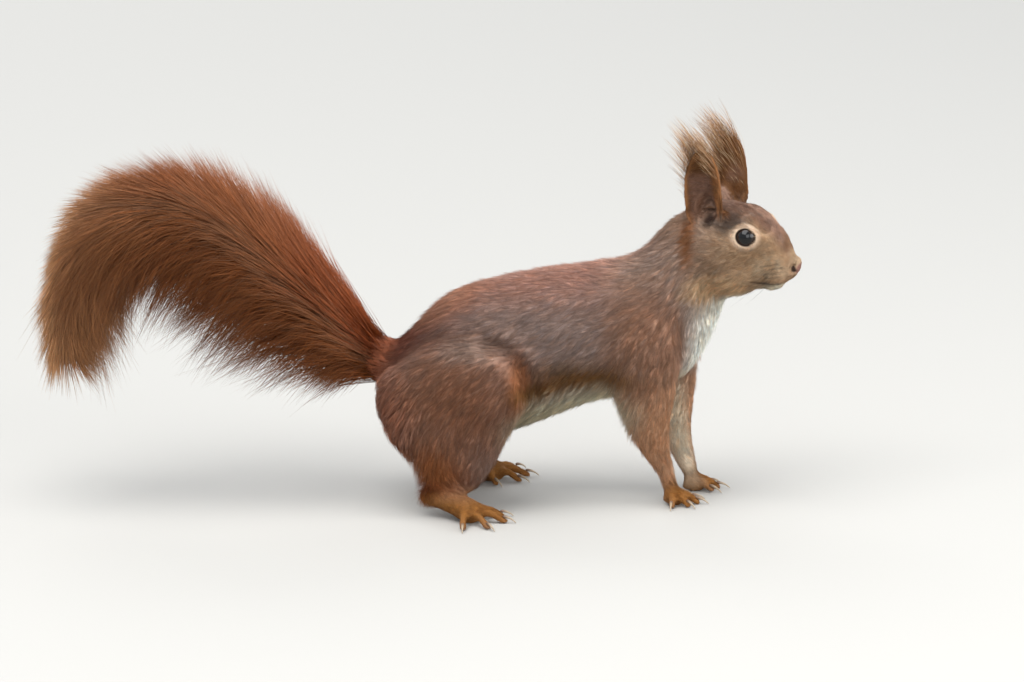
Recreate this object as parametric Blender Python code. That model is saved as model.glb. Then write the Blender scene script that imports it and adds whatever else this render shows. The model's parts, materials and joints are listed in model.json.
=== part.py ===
"""A red squirrel standing on all fours with its tail arched behind it, life size.

+X is forwards, +Y is its left, +Z is up, and the floor is z = 0. The solids reach out to the tips of
the coat. The flesh is lofted whole from rings, fused, and then parted with thin cuts into the parts
that a person would name. Lengths in the tables are millimetres, as (x, y, z) first and radii after.
"""
import math

import bmesh
import bpy
import numpy as np
from mathutils import Matrix, Vector

MM = 0.001
GAP = 0.3  # between neighbouring solids
FLOOR_BLOCK = 400.0  # a cutter that is larger than the stance

# Driving dimensions
HEAD_TURN = 15.0  # degrees that the head looks to its right
HEAD_PIVOT = (92.0, 0.0, 119.0)  # where the skull sits on the neck
EYE_RADIUS = 5.2
EYE_PLACE = (27.6, 10.9, 6.9)  # from the pivot, forwards, sideways and up
EAR_BASE = (8.8, 12.6, 16.5)
TOE_RADIUS = 1.95
TOE_REST = 0.7  # a pad's height above the floor, in radii, before the floor flattens it
CLAW_LENGTH = 7.0
CLAW_RADIUS = 0.85
CLAW_BEND = 52.0  # degrees
CLAW_ROOT = (-1.8, 3.3)  # from the toe's tip, along it and up
HIND_TOE_COUNT = 5
FORE_TOE_COUNT = 4
FUSE_COARSE = 1.6  # voxel for the big muscles, which are then smoothed into each other
FUSE_FINE = 0.8  # voxel for the head, paws and tail
FLESH_TRIANGLES = 7500  # before the cuts
KEEP = 0.5  # share of the faces kept once a part is cut out
ARCH_STEPS = 16  # sides of the arch that a leg is cut out by
ARCH_REACH = 90.0  # beyond the flank
ARCH_FOOT = 10.0  # below the floor

COLOURS = {
    "coat": (0.30, 0.115, 0.050),
    "tail": (0.27, 0.085, 0.035),
    "ear": (0.28, 0.12, 0.06),
    "paw": (0.40, 0.17, 0.07),
    "eye": (0.008, 0.007, 0.007),
    "claw": (0.35, 0.28, 0.20),
}
ROUGHNESS = {"coat": 0.8, "tail": 0.8, "ear": 0.8, "paw": 0.75, "eye": 0.05, "claw": 0.35}

# The trunk from the rump to the back of the skull: x, z, half width, reach up and down
TRUNK = (
    (-57, 60, 6, 8, 9),
    (-49, 59, 16, 12.5, 19),
    (-35, 61.5, 25, 24.5, 31),
    (-16, 66, 29, 35, 37),
    (6, 71, 29.5, 37, 36),
    (28, 76, 28.5, 35.5, 33),
    (48, 80, 26, 33.5, 32),
    (66, 86, 23.5, 31.5, 33.5),
    (79, 97, 20, 28, 26.5),
    (87, 109, 17.5, 22.5, 20),
    (94, 121, 16.5, 19.5, 15),
    (99, 128, 12, 12, 10),
)

# The tail's bone line with the hair's reach around it: x, y, z, reach sideways, up and down
TAIL = (
    (-50, 0, 62, 9, 9, 10),
    (-56, 0, 65, 12, 11, 15),
    (-68.5, 0, 74.5, 14, 13, 30),
    (-85, 1, 90, 18, 21, 46),
    (-99.5, 2, 103, 21, 27, 52),
    (-115, 3, 114.5, 23, 35, 49),
    (-137.5, 4, 125.5, 24, 42, 44),
    (-160, 5, 129.5, 24, 37, 40),
    (-178, 6, 122, 22, 33, 28),
    (-189, 6.5, 106.5, 19, 25, 21),
    (-195, 7, 89, 16, 20, 19),
    (-198, 7, 76, 13, 16, 16),
    (-200.5, 7, 66, 9, 11, 11),
    (-201.5, 7, 60, 4, 5, 5),
)

# The skull and muzzle from the pivot: forwards, up, half width, reach up and reach down
SKULL = (
    (-9, 0, 9, 10, 12),
    (-3, 1, 15, 17, 22),
    (6, 1, 18, 20.2, 26),
    (16, 0, 18.0, 21.4, 25.5),
    (25, -1, 16.0, 19.8, 23.6),
    (31, -2.5, 13.2, 16.6, 20.4),
    (36, -4.5, 10.4, 13.2, 16.6),
    (39.5, -6.5, 8.2, 10.2, 12.6),
    (42, -7.8, 6.8, 7.8, 9.6),
    (44.8, -8.6, 5.4, 5.6, 6.6),
    (47, -8.8, 4.0, 3.7, 4.0),
    (48.6, -8.8, 2.2, 2.0, 2.0),
)


def station_curve(stations, steps):
    """Rows read from a smooth curve through the stations, each column by itself."""
    rows = np.array(stations, float)
    before = np.vstack([2 * rows[0] - rows[1], rows, 2 * rows[-1] - rows[-2]])
    found = []
    for i in range(len(rows) - 1):
        a, b, c, d = before[i : i + 4]
        for t in np.arange(steps) / steps:
            found.append(
                0.5 * (2 * b + (c - a) * t + (2 * a - 5 * b + 4 * c - d) * t**2 + (3 * b - a - 3 * c + d) * t**3)
            )
    found.append(rows[-1])
    return np.array(found)


def loft(stations, side=(0, 1, 0), steps=4, around=28, square=2.0):
    """A closed tube through stations of (x, y, z, half width, reach up, reach down).

    side is roughly the direction of the width. square above 2 fills the rings out towards a box.
    """
    rows = station_curve(stations, steps)
    rows[:, 3:] = np.maximum(rows[:, 3:], 0.25)
    mesh = bmesh.new()
    rings = []
    for i, row in enumerate(rows):
        along = Vector(rows[min(i + 1, len(rows) - 1), :3] - rows[max(i - 1, 0), :3]).normalized()
        across = (Vector(side) - Vector(side).dot(along) * along).normalized()
        up = along.cross(across)
        ring = []
        for step in range(around):
            angle = 2 * math.pi * step / around
            c = math.copysign(abs(math.cos(angle)) ** (2 / square), math.cos(angle))
            s = math.copysign(abs(math.sin(angle)) ** (2 / square), math.sin(angle))
            reach = row[4] if (s > 0) == (up.z >= 0) else row[5]
            ring.append(mesh.verts.new(Vector(row[:3]) + across * row[3] * c + up * reach * s))
        rings.append(ring)
    for first, second in zip(rings, rings[1:]):
        for step in range(around):
            after = (step + 1) % around
            mesh.faces.new((first[step], first[after], second[after], second[step]))
    mesh.faces.new(list(reversed(rings[0])))
    mesh.faces.new(rings[-1])
    bmesh.ops.recalc_face_normals(mesh, faces=mesh.faces)
    return mesh


def ball(centre, radii, turn=None, around=28):
    """A closed ellipsoid."""
    mesh = bmesh.new()
    matrix = Matrix.Translation(centre) @ (turn or Matrix()) @ Matrix.Diagonal((*radii, 1))
    bmesh.ops.create_uvsphere(mesh, u_segments=around, v_segments=around * 5 // 8, radius=1, matrix=matrix)
    return mesh


def round_stations(rows):
    """Stations of round tubes: (x, y, z, radius) each."""
    return [(*row[:3], row[3], row[3], row[3]) for row in rows]


def to_object(name, meshes):
    """One object from the given bmeshes, in metres."""
    joined = bpy.data.meshes.new(name)
    total = bmesh.new()
    for mesh in meshes:
        piece = bpy.data.meshes.new("piece")
        mesh.to_mesh(piece)
        total.from_mesh(piece)
        bpy.data.meshes.remove(piece)
        mesh.free()
    bmesh.ops.scale(total, vec=(MM, MM, MM), verts=total.verts)
    total.to_mesh(joined)
    total.free()
    thing = bpy.data.objects.new(name, joined)
    bpy.context.scene.collection.objects.link(thing)
    return thing


def settle(thing):
    """Applies the object's modifiers."""
    graph = bpy.context.evaluated_depsgraph_get()
    graph.update()
    made = bpy.data.meshes.new_from_object(thing.evaluated_get(graph), depsgraph=graph)
    thing.modifiers.clear()
    old = thing.data
    thing.data = made
    bpy.data.meshes.remove(old)
    return thing


def fuse(thing, voxel, smoothing):
    """Joins the object's overlapping shells into one skin and softens the creases between them."""
    remesh = thing.modifiers.new("fuse", "REMESH")
    remesh.mode = "VOXEL"
    remesh.voxel_size = voxel * MM
    soften = thing.modifiers.new("soften", "SMOOTH")
    soften.factor = 0.5
    soften.iterations = smoothing
    return settle(thing)


def boolean(thing, other, operation):
    cut = thing.modifiers.new(operation.lower(), "BOOLEAN")
    cut.operation = operation
    cut.solver = "EXACT"
    cut.object = other
    return settle(thing)


def copy_of(thing, name):
    made = bpy.data.objects.new(name, thing.data.copy())
    bpy.context.scene.collection.objects.link(made)
    return made


def remove(thing):
    bpy.data.objects.remove(thing)


def split(thing, name, point, normal):
    """Parts the object at a plane. The side that the normal points to becomes a new object."""
    place = Vector(point) * MM
    facing = Vector(normal).normalized()
    other = copy_of(thing, name)
    for piece, sign in ((thing, -1), (other, 1)):
        mesh = bmesh.new()
        mesh.from_mesh(piece.data)
        bmesh.ops.bisect_plane(
            mesh,
            geom=mesh.verts[:] + mesh.edges[:] + mesh.faces[:],
            dist=1e-7,
            plane_co=place + facing * sign * GAP / 2 * MM,
            plane_no=facing * -sign,
            clear_outer=True,
        )
        bmesh.ops.holes_fill(mesh, edges=[e for e in mesh.edges if e.is_boundary], sides=0)
        bmesh.ops.triangulate(mesh, faces=[f for f in mesh.faces if len(f.verts) > 4])
        mesh.to_mesh(piece.data)
        mesh.free()
    return other


# ---- the head

HEAD_MATRIX = Matrix.Translation(HEAD_PIVOT) @ Matrix.Rotation(math.radians(-HEAD_TURN), 4, "Z")


def head_mesh(mesh):
    """Moves a bmesh from the head's own axes into the squirrel's."""
    bmesh.ops.transform(mesh, matrix=HEAD_MATRIX, verts=mesh.verts)
    return mesh


def head_forms():
    """The skull, brows, cheeks, muzzle, nose and chin."""
    forms = [loft([(x, 0, z, w, up, down) for x, z, w, up, down in SKULL], around=36)]
    for side in (-1, 1):
        forms += [
            ball((17, side * 9.2, -9), (13, 8.4, 11)),  # cheek
            ball((38.0, side * 4.3, -12), (6.6, 4.6, 5.2)),  # whisker pad
            ball((27.0, side * 10.2, 11.6), (6.5, 3.0, 2.4)),  # brow
        ]
    forms += [
        ball((45.4, 0, -8.6), (3.6, 3.4, 3.6)),  # nose
        ball((34.5, 0, -17.4), (6.5, 4.6, 3.4)),  # chin
    ]
    return [head_mesh(form) for form in forms]


def eye_centre(side):
    return HEAD_MATRIX @ Vector((EYE_PLACE[0], side * EYE_PLACE[1], EYE_PLACE[2]))


def ear_forms(side):
    """The cupped ear and the tuft that stands on it, as one blade."""
    x, y, z = EAR_BASE
    blade = (
        (x - 0.5, side * (y - 3.5), z - 6.0, 4.6, 7.5, 7.5),
        (x - 0.5, side * (y - 0.5), z + 1, 4.2, 9.0, 9.6),
        (x + 0.8, side * (y + 2.0), z + 12, 3.4, 8.2, 8.4),
        (x + 0.2, side * (y + 3.4), z + 23, 2.9, 6.6, 7.0),
        (x - 2.4, side * (y + 3.8), z + 33, 2.4, 5.4, 6.0),
        (x - 5.8, side * (y + 3.6), z + 41.5, 1.6, 3.4, 3.8),
        (x - 8.0, side * (y + 3.4), z + 46, 0.7, 1.2, 1.2),
    )
    return head_mesh(loft(blade, side=(0.35, side * 0.94, 0), around=16, steps=2))


def ear_hollow(side):
    """What is scooped out of the ear's outer face."""
    x, y, z = EAR_BASE
    lean = Matrix.Rotation(math.radians(-side * 8), 4, "X")
    face = Matrix.Rotation(math.radians(-side * 20), 4, "Z")
    return head_mesh(ball((x + 1.6, side * (y + 4.9), z + 11), (5.2, 3.4, 11.5), lean @ face, 18))


# ---- the limbs

def haunch_forms(side):
    """Thigh and shank of a hind leg. The thigh runs fore and aft and the shank down to the heel."""
    thigh = (
        (-55, side * 17, 55, 5, 8, 8),
        (-46, side * 21, 56.5, 10, 15, 16),
        (-32, side * 24, 58.5, 12.5, 20.5, 22),
        (-14, side * 26, 59, 13, 23, 24),
        (2, side * 27.5, 57.5, 11.5, 20, 20),
        (11, side * 28, 56, 8, 13, 13),
        (15, side * 28, 55, 3.5, 6, 6),
    )
    shank = (
        (-20, side * 25, 62, 11, 30, 31),
        (-20.5, side * 26, 50, 12, 32, 33),
        (-21, side * 26.5, 41, 11.5, 29, 29),
        (-21.5, side * 26.5, 32, 10.5, 23.5, 23.5),
        (-24, side * 26, 23, 9, 18, 18),
        (-28, side * 25, 15, 7, 12, 12),
        (-32, side * 24, 9, 4.5, 6.5, 6.5),
    )
    return [loft(thigh), loft(shank)]


def arm_forms(side, forward):
    """Shoulder, upper arm and forearm of a front leg, set forward by so much below the shoulder."""
    rows = (
        (65, 13, 100, 7, 12),
        (66, 17, 88, 10, 17),
        (66.5, 19, 75, 11, 18.3),
        (66, 19, 62, 10.5, 17.5),
        (65.8, 18.5, 51, 9.2, 14.5),
        (66.2, 17, 40, 8, 11.3),
        (68, 15, 28, 6.6, 8.5),
        (71.2, 13, 19, 5.2, 6.1),
        (73.6, 12, 12, 4.4, 4.6),
        (75, 12, 7, 3.6, 4.0),
    )
    top, low = rows[0][2], rows[-1][2]
    stations = []
    for x, y, z, wide, deep in rows:
        shift = forward * min(1, (top - z) / (top - low) * 2)
        stations.append((x + shift, side * y, z, wide, deep, deep))
    return [loft(stations)]


def toe(start, tip, lift):
    """A toe from its root at start to its tip, both on the floor plan, arched by lift, with its claw's line."""
    root, end = Vector((*start, 0)), Vector((*tip, 0))
    reach = (end - root).normalized()
    rows = []
    for share, height, radius in (
        (0.0, 0.75 * lift, 1.05),
        (0.3, lift, 1.05),
        (0.62, 0.70 * lift, 0.98),
        (0.86, 0.0, 1.04),
        (1.0, 0.0, 0.9),
        (1.07, 0.0, 0.5),
    ):
        place = root + (end - root) * share
        rows.append((place.x, place.y, max(height, TOE_RADIUS * TOE_REST), TOE_RADIUS * radius))
    flat = loft(round_stations(rows), side=reach.cross(Vector((0, 0, 1))), around=14, steps=3)
    return flat, end, reach


def claw(end, reach, grow=0.0):
    """A claw that hooks forwards and down from a toe's tip. grow fattens it into a cutter."""
    rows = []
    bend = math.radians(CLAW_BEND)
    back, root = CLAW_ROOT
    for step in range(5):
        share = step / 4
        along = back + CLAW_LENGTH / bend * math.sin(bend * share)
        high = root - CLAW_LENGTH / bend * (1 - math.cos(bend * share))
        place = end + reach * along
        rows.append((place.x, place.y, high, CLAW_RADIUS * (1 - 0.86 * share**1.4) + grow))
    if grow:
        place = end + reach * (back - grow)
        rows.insert(0, (place.x, place.y, root, rows[0][3]))
    return loft(round_stations(rows), side=reach.cross(Vector((0, 0, 1))), around=6, steps=1)


def hind_paw(side):
    """The long hind foot, turned out, with five toes. Returns its forms and each toe's end and direction."""
    sole = (
        (-38.5, side * 22.5, 9.2, 3.0, 3.6, 3.4),
        (-35, side * 24.5, 9.4, 4.4, 5.6, 4.4),
        (-28, side * 29, 8.4, 4.8, 5.2, 4.4),
        (-20.5, side * 33, 7.2, 6.2, 4.8, 5.4),
        (-14, side * 37, 5.6, 7.4, 4.4, 6.5),
        (-9.5, side * 39.5, 4.6, 6.0, 3.2, 5.4),
    )
    toes = (
        ((-16.5, 42.5), (-15.5, 55.0)),
        ((-12.5, 43.0), (-3.5, 53.5)),
        ((-10.0, 39.5), (3.0, 41.5)),
        ((-10.5, 35.0), (0.5, 31.0)),
        ((-15.5, 31.5), (-10.0, 25.0)),
    )
    return paw_forms(sole, toes, side, 5.0)


def fore_paw(side, forward):
    """The front foot with four toes, set forward by so much."""
    sole = (
        (72.0, side * 12.0, 6.0, 3.4, 4.0, 5.0),
        (74.5, side * 12.0, 5.0, 4.4, 4.4, 5.2),
        (77.5, side * 12.4, 4.2, 5.2, 3.8, 5.1),
        (80.5, side * 12.8, 3.6, 4.2, 2.8, 4.4),
    )
    toes = (
        ((76.0, 14.5), (76.0, 22.0)),
        ((78.5, 14.5), (84.0, 20.0)),
        ((79.5, 12.5), (88.0, 13.5)),
        ((78.5, 10.2), (85.5, 7.0)),
    )
    shift = lambda row: (row[0] + forward, *row[1:])
    return paw_forms([shift(r) for r in sole], [(shift(a), shift(b)) for a, b in toes], side, 4.6)


def paw_forms(sole, toes, side, lift):
    forms, ends = [loft(sole, around=20)], []
    for start, tip in toes:
        form, end, reach = toe((start[0], side * start[1]), (tip[0], side * tip[1]), lift)
        forms.append(form)
        ends.append((end, reach))
    return forms, ends


# ---- cutting regions

def leg_block(side, grow, centre, half_length, shoulder, top, inner, lean):
    """An arch-topped block that encloses one leg from its inner face outwards.

    centre and half_length are along X, shoulder is the height where the arch starts, and inner is the
    inner face's distance from the middle plane at the floor, which grows by lean for each unit of height.
    """
    half = half_length + grow
    rise = top - shoulder + grow
    outline = [(centre - half, -ARCH_FOOT)]
    for step in range(ARCH_STEPS + 1):
        angle = math.pi * (1 - step / ARCH_STEPS)
        outline.append((centre + half * math.cos(angle), shoulder + rise * math.sin(angle)))
    outline.append((centre + half, -ARCH_FOOT))
    mesh = bmesh.new()
    near = [mesh.verts.new((x, side * (inner + lean * z - grow), z)) for x, z in outline]
    away = [mesh.verts.new((x, side * ARCH_REACH, z)) for x, z in outline]
    for i in range(len(outline)):
        j = (i + 1) % len(outline)
        mesh.faces.new((near[i], near[j], away[j], away[i]))
    mesh.faces.new(near)
    mesh.faces.new(list(reversed(away)))
    bmesh.ops.recalc_face_normals(mesh, faces=mesh.faces)
    return to_object("leg_block", [mesh])


def take_leg(body, side, **block):
    """Parts a leg from the body along the walls of its block."""
    inside, outside = leg_block(side, -GAP / 2, **block), leg_block(side, GAP / 2, **block)
    limb = boolean(copy_of(body, "leg"), inside, "INTERSECT")
    boolean(body, outside, "DIFFERENCE")
    remove(inside)
    remove(outside)
    return limb


def level_feet(thing):
    """Cuts small flats at floor level under the pads."""
    mesh = bmesh.new()
    below = Matrix.Translation((0, 0, -FLOOR_BLOCK / 2)) @ Matrix.Scale(FLOOR_BLOCK, 4)
    bmesh.ops.create_cube(mesh, size=1, matrix=below)
    floor = to_object("floor_cutter", [mesh])
    boolean(thing, floor, "DIFFERENCE")
    remove(floor)


def largest_shell(thing):
    """Drops the crumbs that a cut may leave beside the piece."""
    mesh = bmesh.new()
    mesh.from_mesh(thing.data)
    bmesh.ops.remove_doubles(mesh, verts=mesh.verts, dist=1e-6)
    left, shells = set(mesh.faces), []
    while left:
        todo, shell = [left.pop()], []
        while todo:
            face = todo.pop()
            shell.append(face)
            for edge in face.edges:
                for other in edge.link_faces:
                    if other in left:
                        left.discard(other)
                        todo.append(other)
        shells.append(shell)
    shells.sort(key=len)
    crumbs = [face for shell in shells[:-1] for face in shell]
    bmesh.ops.delete(mesh, geom=crumbs, context="FACES")
    bmesh.ops.delete(mesh, geom=[v for v in mesh.verts if not v.link_faces], context="VERTS")
    mesh.to_mesh(thing.data)
    mesh.free()


def material(kind):
    found = bpy.data.materials.get(kind)
    if not found:
        found = bpy.data.materials.new(kind)
        found.use_nodes = True
        shader = found.node_tree.nodes["Principled BSDF"]
        shader.inputs["Base Color"].default_value = (*COLOURS[kind], 1)
        shader.inputs["Roughness"].default_value = ROUGHNESS[kind]
        shader.inputs["Metallic"].default_value = 0.0
    return found


def finish(thing, name, kind, keep=1.0):
    """Names and colours a finished part. keep is the share of its faces that a thinning leaves."""
    largest_shell(thing)
    if keep < 1:
        thin = thing.modifiers.new("thin", "DECIMATE")
        thin.ratio = keep
        settle(thing)
    if kind == "paw":
        level_feet(thing)
    thing.name = name
    thing.data.name = name
    thing.data.materials.clear()
    thing.data.materials.append(material(kind))
    thing.data.shade_smooth()
    thing.data.set_sharp_from_angle(angle=math.radians(40))
    return thing


def main():
    for thing in list(bpy.data.objects):
        bpy.data.objects.remove(thing)

    sides = {"right": -1, "left": 1}
    arm_forward = {"right": 0.0, "left": 6.5}

    # The big muscles, fused and softened into each other
    forms = [loft([(x, 0, z, w, up, down) for x, z, w, up, down in TRUNK], around=36)]
    for side in sides.values():
        forms += haunch_forms(side)
    for name, side in sides.items():
        forms += arm_forms(side, arm_forward[name])
    body = fuse(to_object("body", forms), FUSE_COARSE, 12)

    # The head, tail and paws keep finer shapes
    forms, claws = head_forms(), {}
    forms.append(loft(TAIL, around=40, steps=5))
    for name, side in sides.items():
        hind, hind_ends = hind_paw(side)
        fore, fore_ends = fore_paw(side, arm_forward[name])
        forms += hind + fore
        claws[f"hind_{name}"] = hind_ends
        claws[f"fore_{name}"] = fore_ends
    details = to_object("details", forms)
    mesh = bmesh.new()
    mesh.from_mesh(body.data)
    mesh.from_mesh(details.data)
    mesh.to_mesh(details.data)
    mesh.free()
    remove(body)
    body = fuse(details, FUSE_FINE, 3)
    thin = body.modifiers.new("thin", "DECIMATE")
    thin.ratio = FLESH_TRIANGLES / (2 * len(body.data.polygons))
    settle(body)

    nodes = []

    # Eyes sit in round sockets
    for name, side in sides.items():
        socket = to_object("socket", [ball(eye_centre(side), (EYE_RADIUS + GAP,) * 3, around=18)])
        boolean(body, socket, "DIFFERENCE")
        remove(socket)
        eye = to_object("eye", [ball(eye_centre(side), (EYE_RADIUS,) * 3, around=20)])
        nodes.append(finish(eye, f"eye_{name}", "eye"))

    # Claws sit in the ends of the toes
    for paw, ends in claws.items():
        for number, (end, reach) in enumerate(ends, 1):
            bed = to_object("bed", [claw(end, reach, GAP)])
            boolean(body, bed, "DIFFERENCE")
            remove(bed)
            nail = to_object("claw", [claw(end, reach)])
            nodes.append(finish(nail, f"claw_{paw}_{number}", "claw"))

    # Ears stand on the skull
    for name, side in sides.items():
        ear = to_object("ear", [ear_forms(side)])
        hollow = to_object("hollow", [ear_hollow(side)])
        boolean(ear, hollow, "DIFFERENCE")
        remove(hollow)
        skull = copy_of(body, "skull")
        swell = skull.modifiers.new("swell", "DISPLACE")
        swell.strength = GAP * MM
        swell.mid_level = 0
        settle(skull)
        boolean(ear, skull, "DIFFERENCE")
        remove(skull)
        nodes.append(finish(ear, f"ear_{name}", "ear", KEEP))

    # Legs
    for name, side in sides.items():
        leg = take_leg(body, side, centre=-21, half_length=39, shoulder=56, top=84, inner=14.5, lean=0.03)
        shank = split(leg, "shank", (-20, 0, 43), (0.2, 0, -1))
        paw = split(shank, "paw", (-28, 0, 13.5), (0.3, 0, -1))
        nodes += [finish(leg, f"thigh_{name}", "coat", KEEP), finish(shank, f"shank_{name}", "coat", KEEP)]
        nodes.append(finish(paw, f"hind_paw_{name}", "paw", KEEP))
        ahead = arm_forward[name]
        arm = take_leg(body, side, centre=67 + ahead, half_length=25, shoulder=78, top=102, inner=3, lean=0.11)
        forearm = split(arm, "forearm", (65, 0, 53), (0, 0, -1))
        paw = split(forearm, "paw", (75 + ahead, 0, 11), (0.2, 0, -1))
        nodes += [finish(arm, f"upper_arm_{name}", "coat", KEEP), finish(forearm, f"forearm_{name}", "coat", KEEP)]
        nodes.append(finish(paw, f"fore_paw_{name}", "paw", KEEP))

    # Tail, neck and head
    tail = split(body, "tail", (-55.5, 0, 66), (-1, 0, 0.08))
    middle = split(tail, "middle", (-92.9, 0, 96), (-0.77, 0, 0.63))
    arch = split(middle, "arch", (-137.5, 0, 125.5), (-0.97, 0, 0.24))
    tip = split(arch, "tip", (-172, 0, 127), (-0.98, 0, -0.2))
    nodes += [finish(tail, "tail_root", "tail", KEEP), finish(middle, "tail_middle", "tail", KEEP)]
    nodes += [finish(arch, "tail_arch", "tail", KEEP), finish(tip, "tail_tip", "tail", KEEP)]
    neck = split(body, "neck", (74, 0, 98), (0.62, 0, 0.78))
    head = split(neck, "head", (94, 0, 116), (0.80, -0.2, 0.56))
    nodes += [finish(body, "trunk", "coat", KEEP), finish(neck, "neck", "coat", KEEP), finish(head, "head", "coat", KEEP)]

    # The origin is the middle of the model's box, on the floor
    points = np.array([v.co for node in nodes for v in node.data.vertices])
    centre = (points.min(axis=0) + points.max(axis=0)) / 2
    for node in nodes:
        node.data.transform(Matrix.Translation((-centre[0], -centre[1], 0)))


main()
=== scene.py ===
import json
import math

import bpy
import numpy as np
from mathutils import Matrix, Vector
from mathutils.bvhtree import BVHTree

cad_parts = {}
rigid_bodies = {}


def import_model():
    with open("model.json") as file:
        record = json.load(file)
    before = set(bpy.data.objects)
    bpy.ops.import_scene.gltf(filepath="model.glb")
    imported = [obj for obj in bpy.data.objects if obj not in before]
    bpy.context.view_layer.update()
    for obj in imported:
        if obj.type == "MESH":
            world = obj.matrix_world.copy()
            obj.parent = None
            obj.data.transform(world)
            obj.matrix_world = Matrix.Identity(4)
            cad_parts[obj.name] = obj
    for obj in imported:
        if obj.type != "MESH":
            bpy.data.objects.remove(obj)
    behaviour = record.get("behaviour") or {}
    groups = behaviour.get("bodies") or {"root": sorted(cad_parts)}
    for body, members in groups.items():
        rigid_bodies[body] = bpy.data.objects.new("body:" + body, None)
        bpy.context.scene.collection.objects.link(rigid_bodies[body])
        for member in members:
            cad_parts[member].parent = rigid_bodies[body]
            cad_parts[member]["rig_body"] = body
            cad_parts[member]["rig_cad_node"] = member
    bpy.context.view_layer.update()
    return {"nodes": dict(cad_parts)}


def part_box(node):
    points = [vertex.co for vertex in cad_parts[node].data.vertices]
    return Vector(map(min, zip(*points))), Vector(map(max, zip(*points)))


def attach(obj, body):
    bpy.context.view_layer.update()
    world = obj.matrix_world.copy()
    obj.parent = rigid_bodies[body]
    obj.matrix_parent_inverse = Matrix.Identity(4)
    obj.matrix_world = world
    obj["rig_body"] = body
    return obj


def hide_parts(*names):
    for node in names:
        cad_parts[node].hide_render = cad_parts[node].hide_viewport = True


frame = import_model()

# A red squirrel in its coat. Lengths in the settings are millimetres, x ahead, y to its left, z up.
# The head has places of its own: ahead of the nape joint, sideways and up, turned with the head.
mm = 0.001
dice = np.random.default_rng(31)


def middleOf(node):
    return sum(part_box(node), Vector()) / 2


eyeMid = {side: middleOf("eye_" + side) for side in ("right", "left")}
betweenEyes = (eyeMid["right"] + eyeMid["left"]) / 2
headLeft = (eyeMid["left"] - eyeMid["right"]).normalized()
headAhead = headLeft.cross(Vector((0, 0, 1)))
headTurn = np.array((headAhead, headLeft, (0, 0, 1)))
eyesInHead = np.array((27.6, 0.0, 6.9))
eyesInBody = np.array((118.66, -7.14, 125.9))
bodyStart = np.array(betweenEyes) / mm - eyesInBody


def toHead(places):
    return (places - eyesInBody) @ headTurn.T + eyesInHead


def fromHead(places):
    return (np.asarray(places, float) - eyesInHead) @ headTurn + eyesInBody


def unit(vectors):
    return vectors / np.maximum(np.linalg.norm(vectors, axis=-1, keepdims=True), 1e-9)


def lengths(vectors):
    return np.linalg.norm(vectors, axis=1)


def ease(value, low, high):
    share = np.clip((value - low) / (high - low), 0, 1)
    return share * share * (3 - 2 * share)


def linear(code):
    parts = [int(code[i : i + 2], 16) / 255 for i in (1, 3, 5)]
    return np.array([p / 12.92 if p <= 0.04045 else ((p + 0.055) / 1.055) ** 2.4 for p in parts])


def mixed(one, other, share):
    return one + (other - one) * share


def oneSide(places):
    # the places to the right of the middle are mirrored to its left
    return places * (1, 0, 1) + np.abs(places) * (0, 1, 0)


def laidOver(value, places, daubs, soft):
    # each daub is an oval (middle, reach, value) laid over what is there, the same on both sides
    folded = oneSide(places)
    for middle, reach, amount in daubs:
        far = lengths((folded - middle) / np.array(reach, float))
        share = 1 - ease(far, 1 - soft, 1 + soft)
        value += share[:, None] * (amount - value)
    return value


def daubed(places, ground, daubs, soft=0.35):
    value = np.broadcast_to(np.asarray(ground, float), (len(places), np.size(ground))).copy()
    return laidOver(value, places, daubs, soft)


def select(*things):
    bpy.ops.object.select_all(action="DESELECT")
    for thing in things:
        thing.select_set(True)
    bpy.context.view_layer.objects.active = things[0]


def joined(*things):
    select(*things)
    bpy.ops.object.join()
    return bpy.context.object


def welded(thing, gap):
    select(thing)
    bpy.ops.object.mode_set(mode="EDIT")
    bpy.ops.mesh.select_all(action="SELECT")
    bpy.ops.mesh.remove_doubles(threshold=gap * mm)
    bpy.ops.object.mode_set(mode="OBJECT")


def applied(thing, kind, **settings):
    select(thing)
    modifier = thing.modifiers.new(kind.title(), kind)
    for name, value in settings.items():
        setattr(modifier, name, value)
    bpy.ops.object.modifier_apply(modifier=modifier.name)


def pulled(rows, field, wide, kind=float):
    found = np.empty(len(rows) * wide, kind)
    rows.foreach_get(field, found)
    return found.reshape(-1, wide)


def readPlaces(thing):
    return pulled(thing.data.vertices, "co", 3) / mm - bodyStart


def writePlaces(thing, places):
    thing.data.vertices.foreach_set("co", ((places + bodyStart) * mm).ravel())
    thing.data.update()


def copyOf(node):
    thing = frame["nodes"][node].copy()
    thing.data = thing.data.copy()
    thing.parent = None
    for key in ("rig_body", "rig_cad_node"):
        if key in thing:
            del thing[key]
    bpy.context.scene.collection.objects.link(thing)
    return thing


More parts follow.
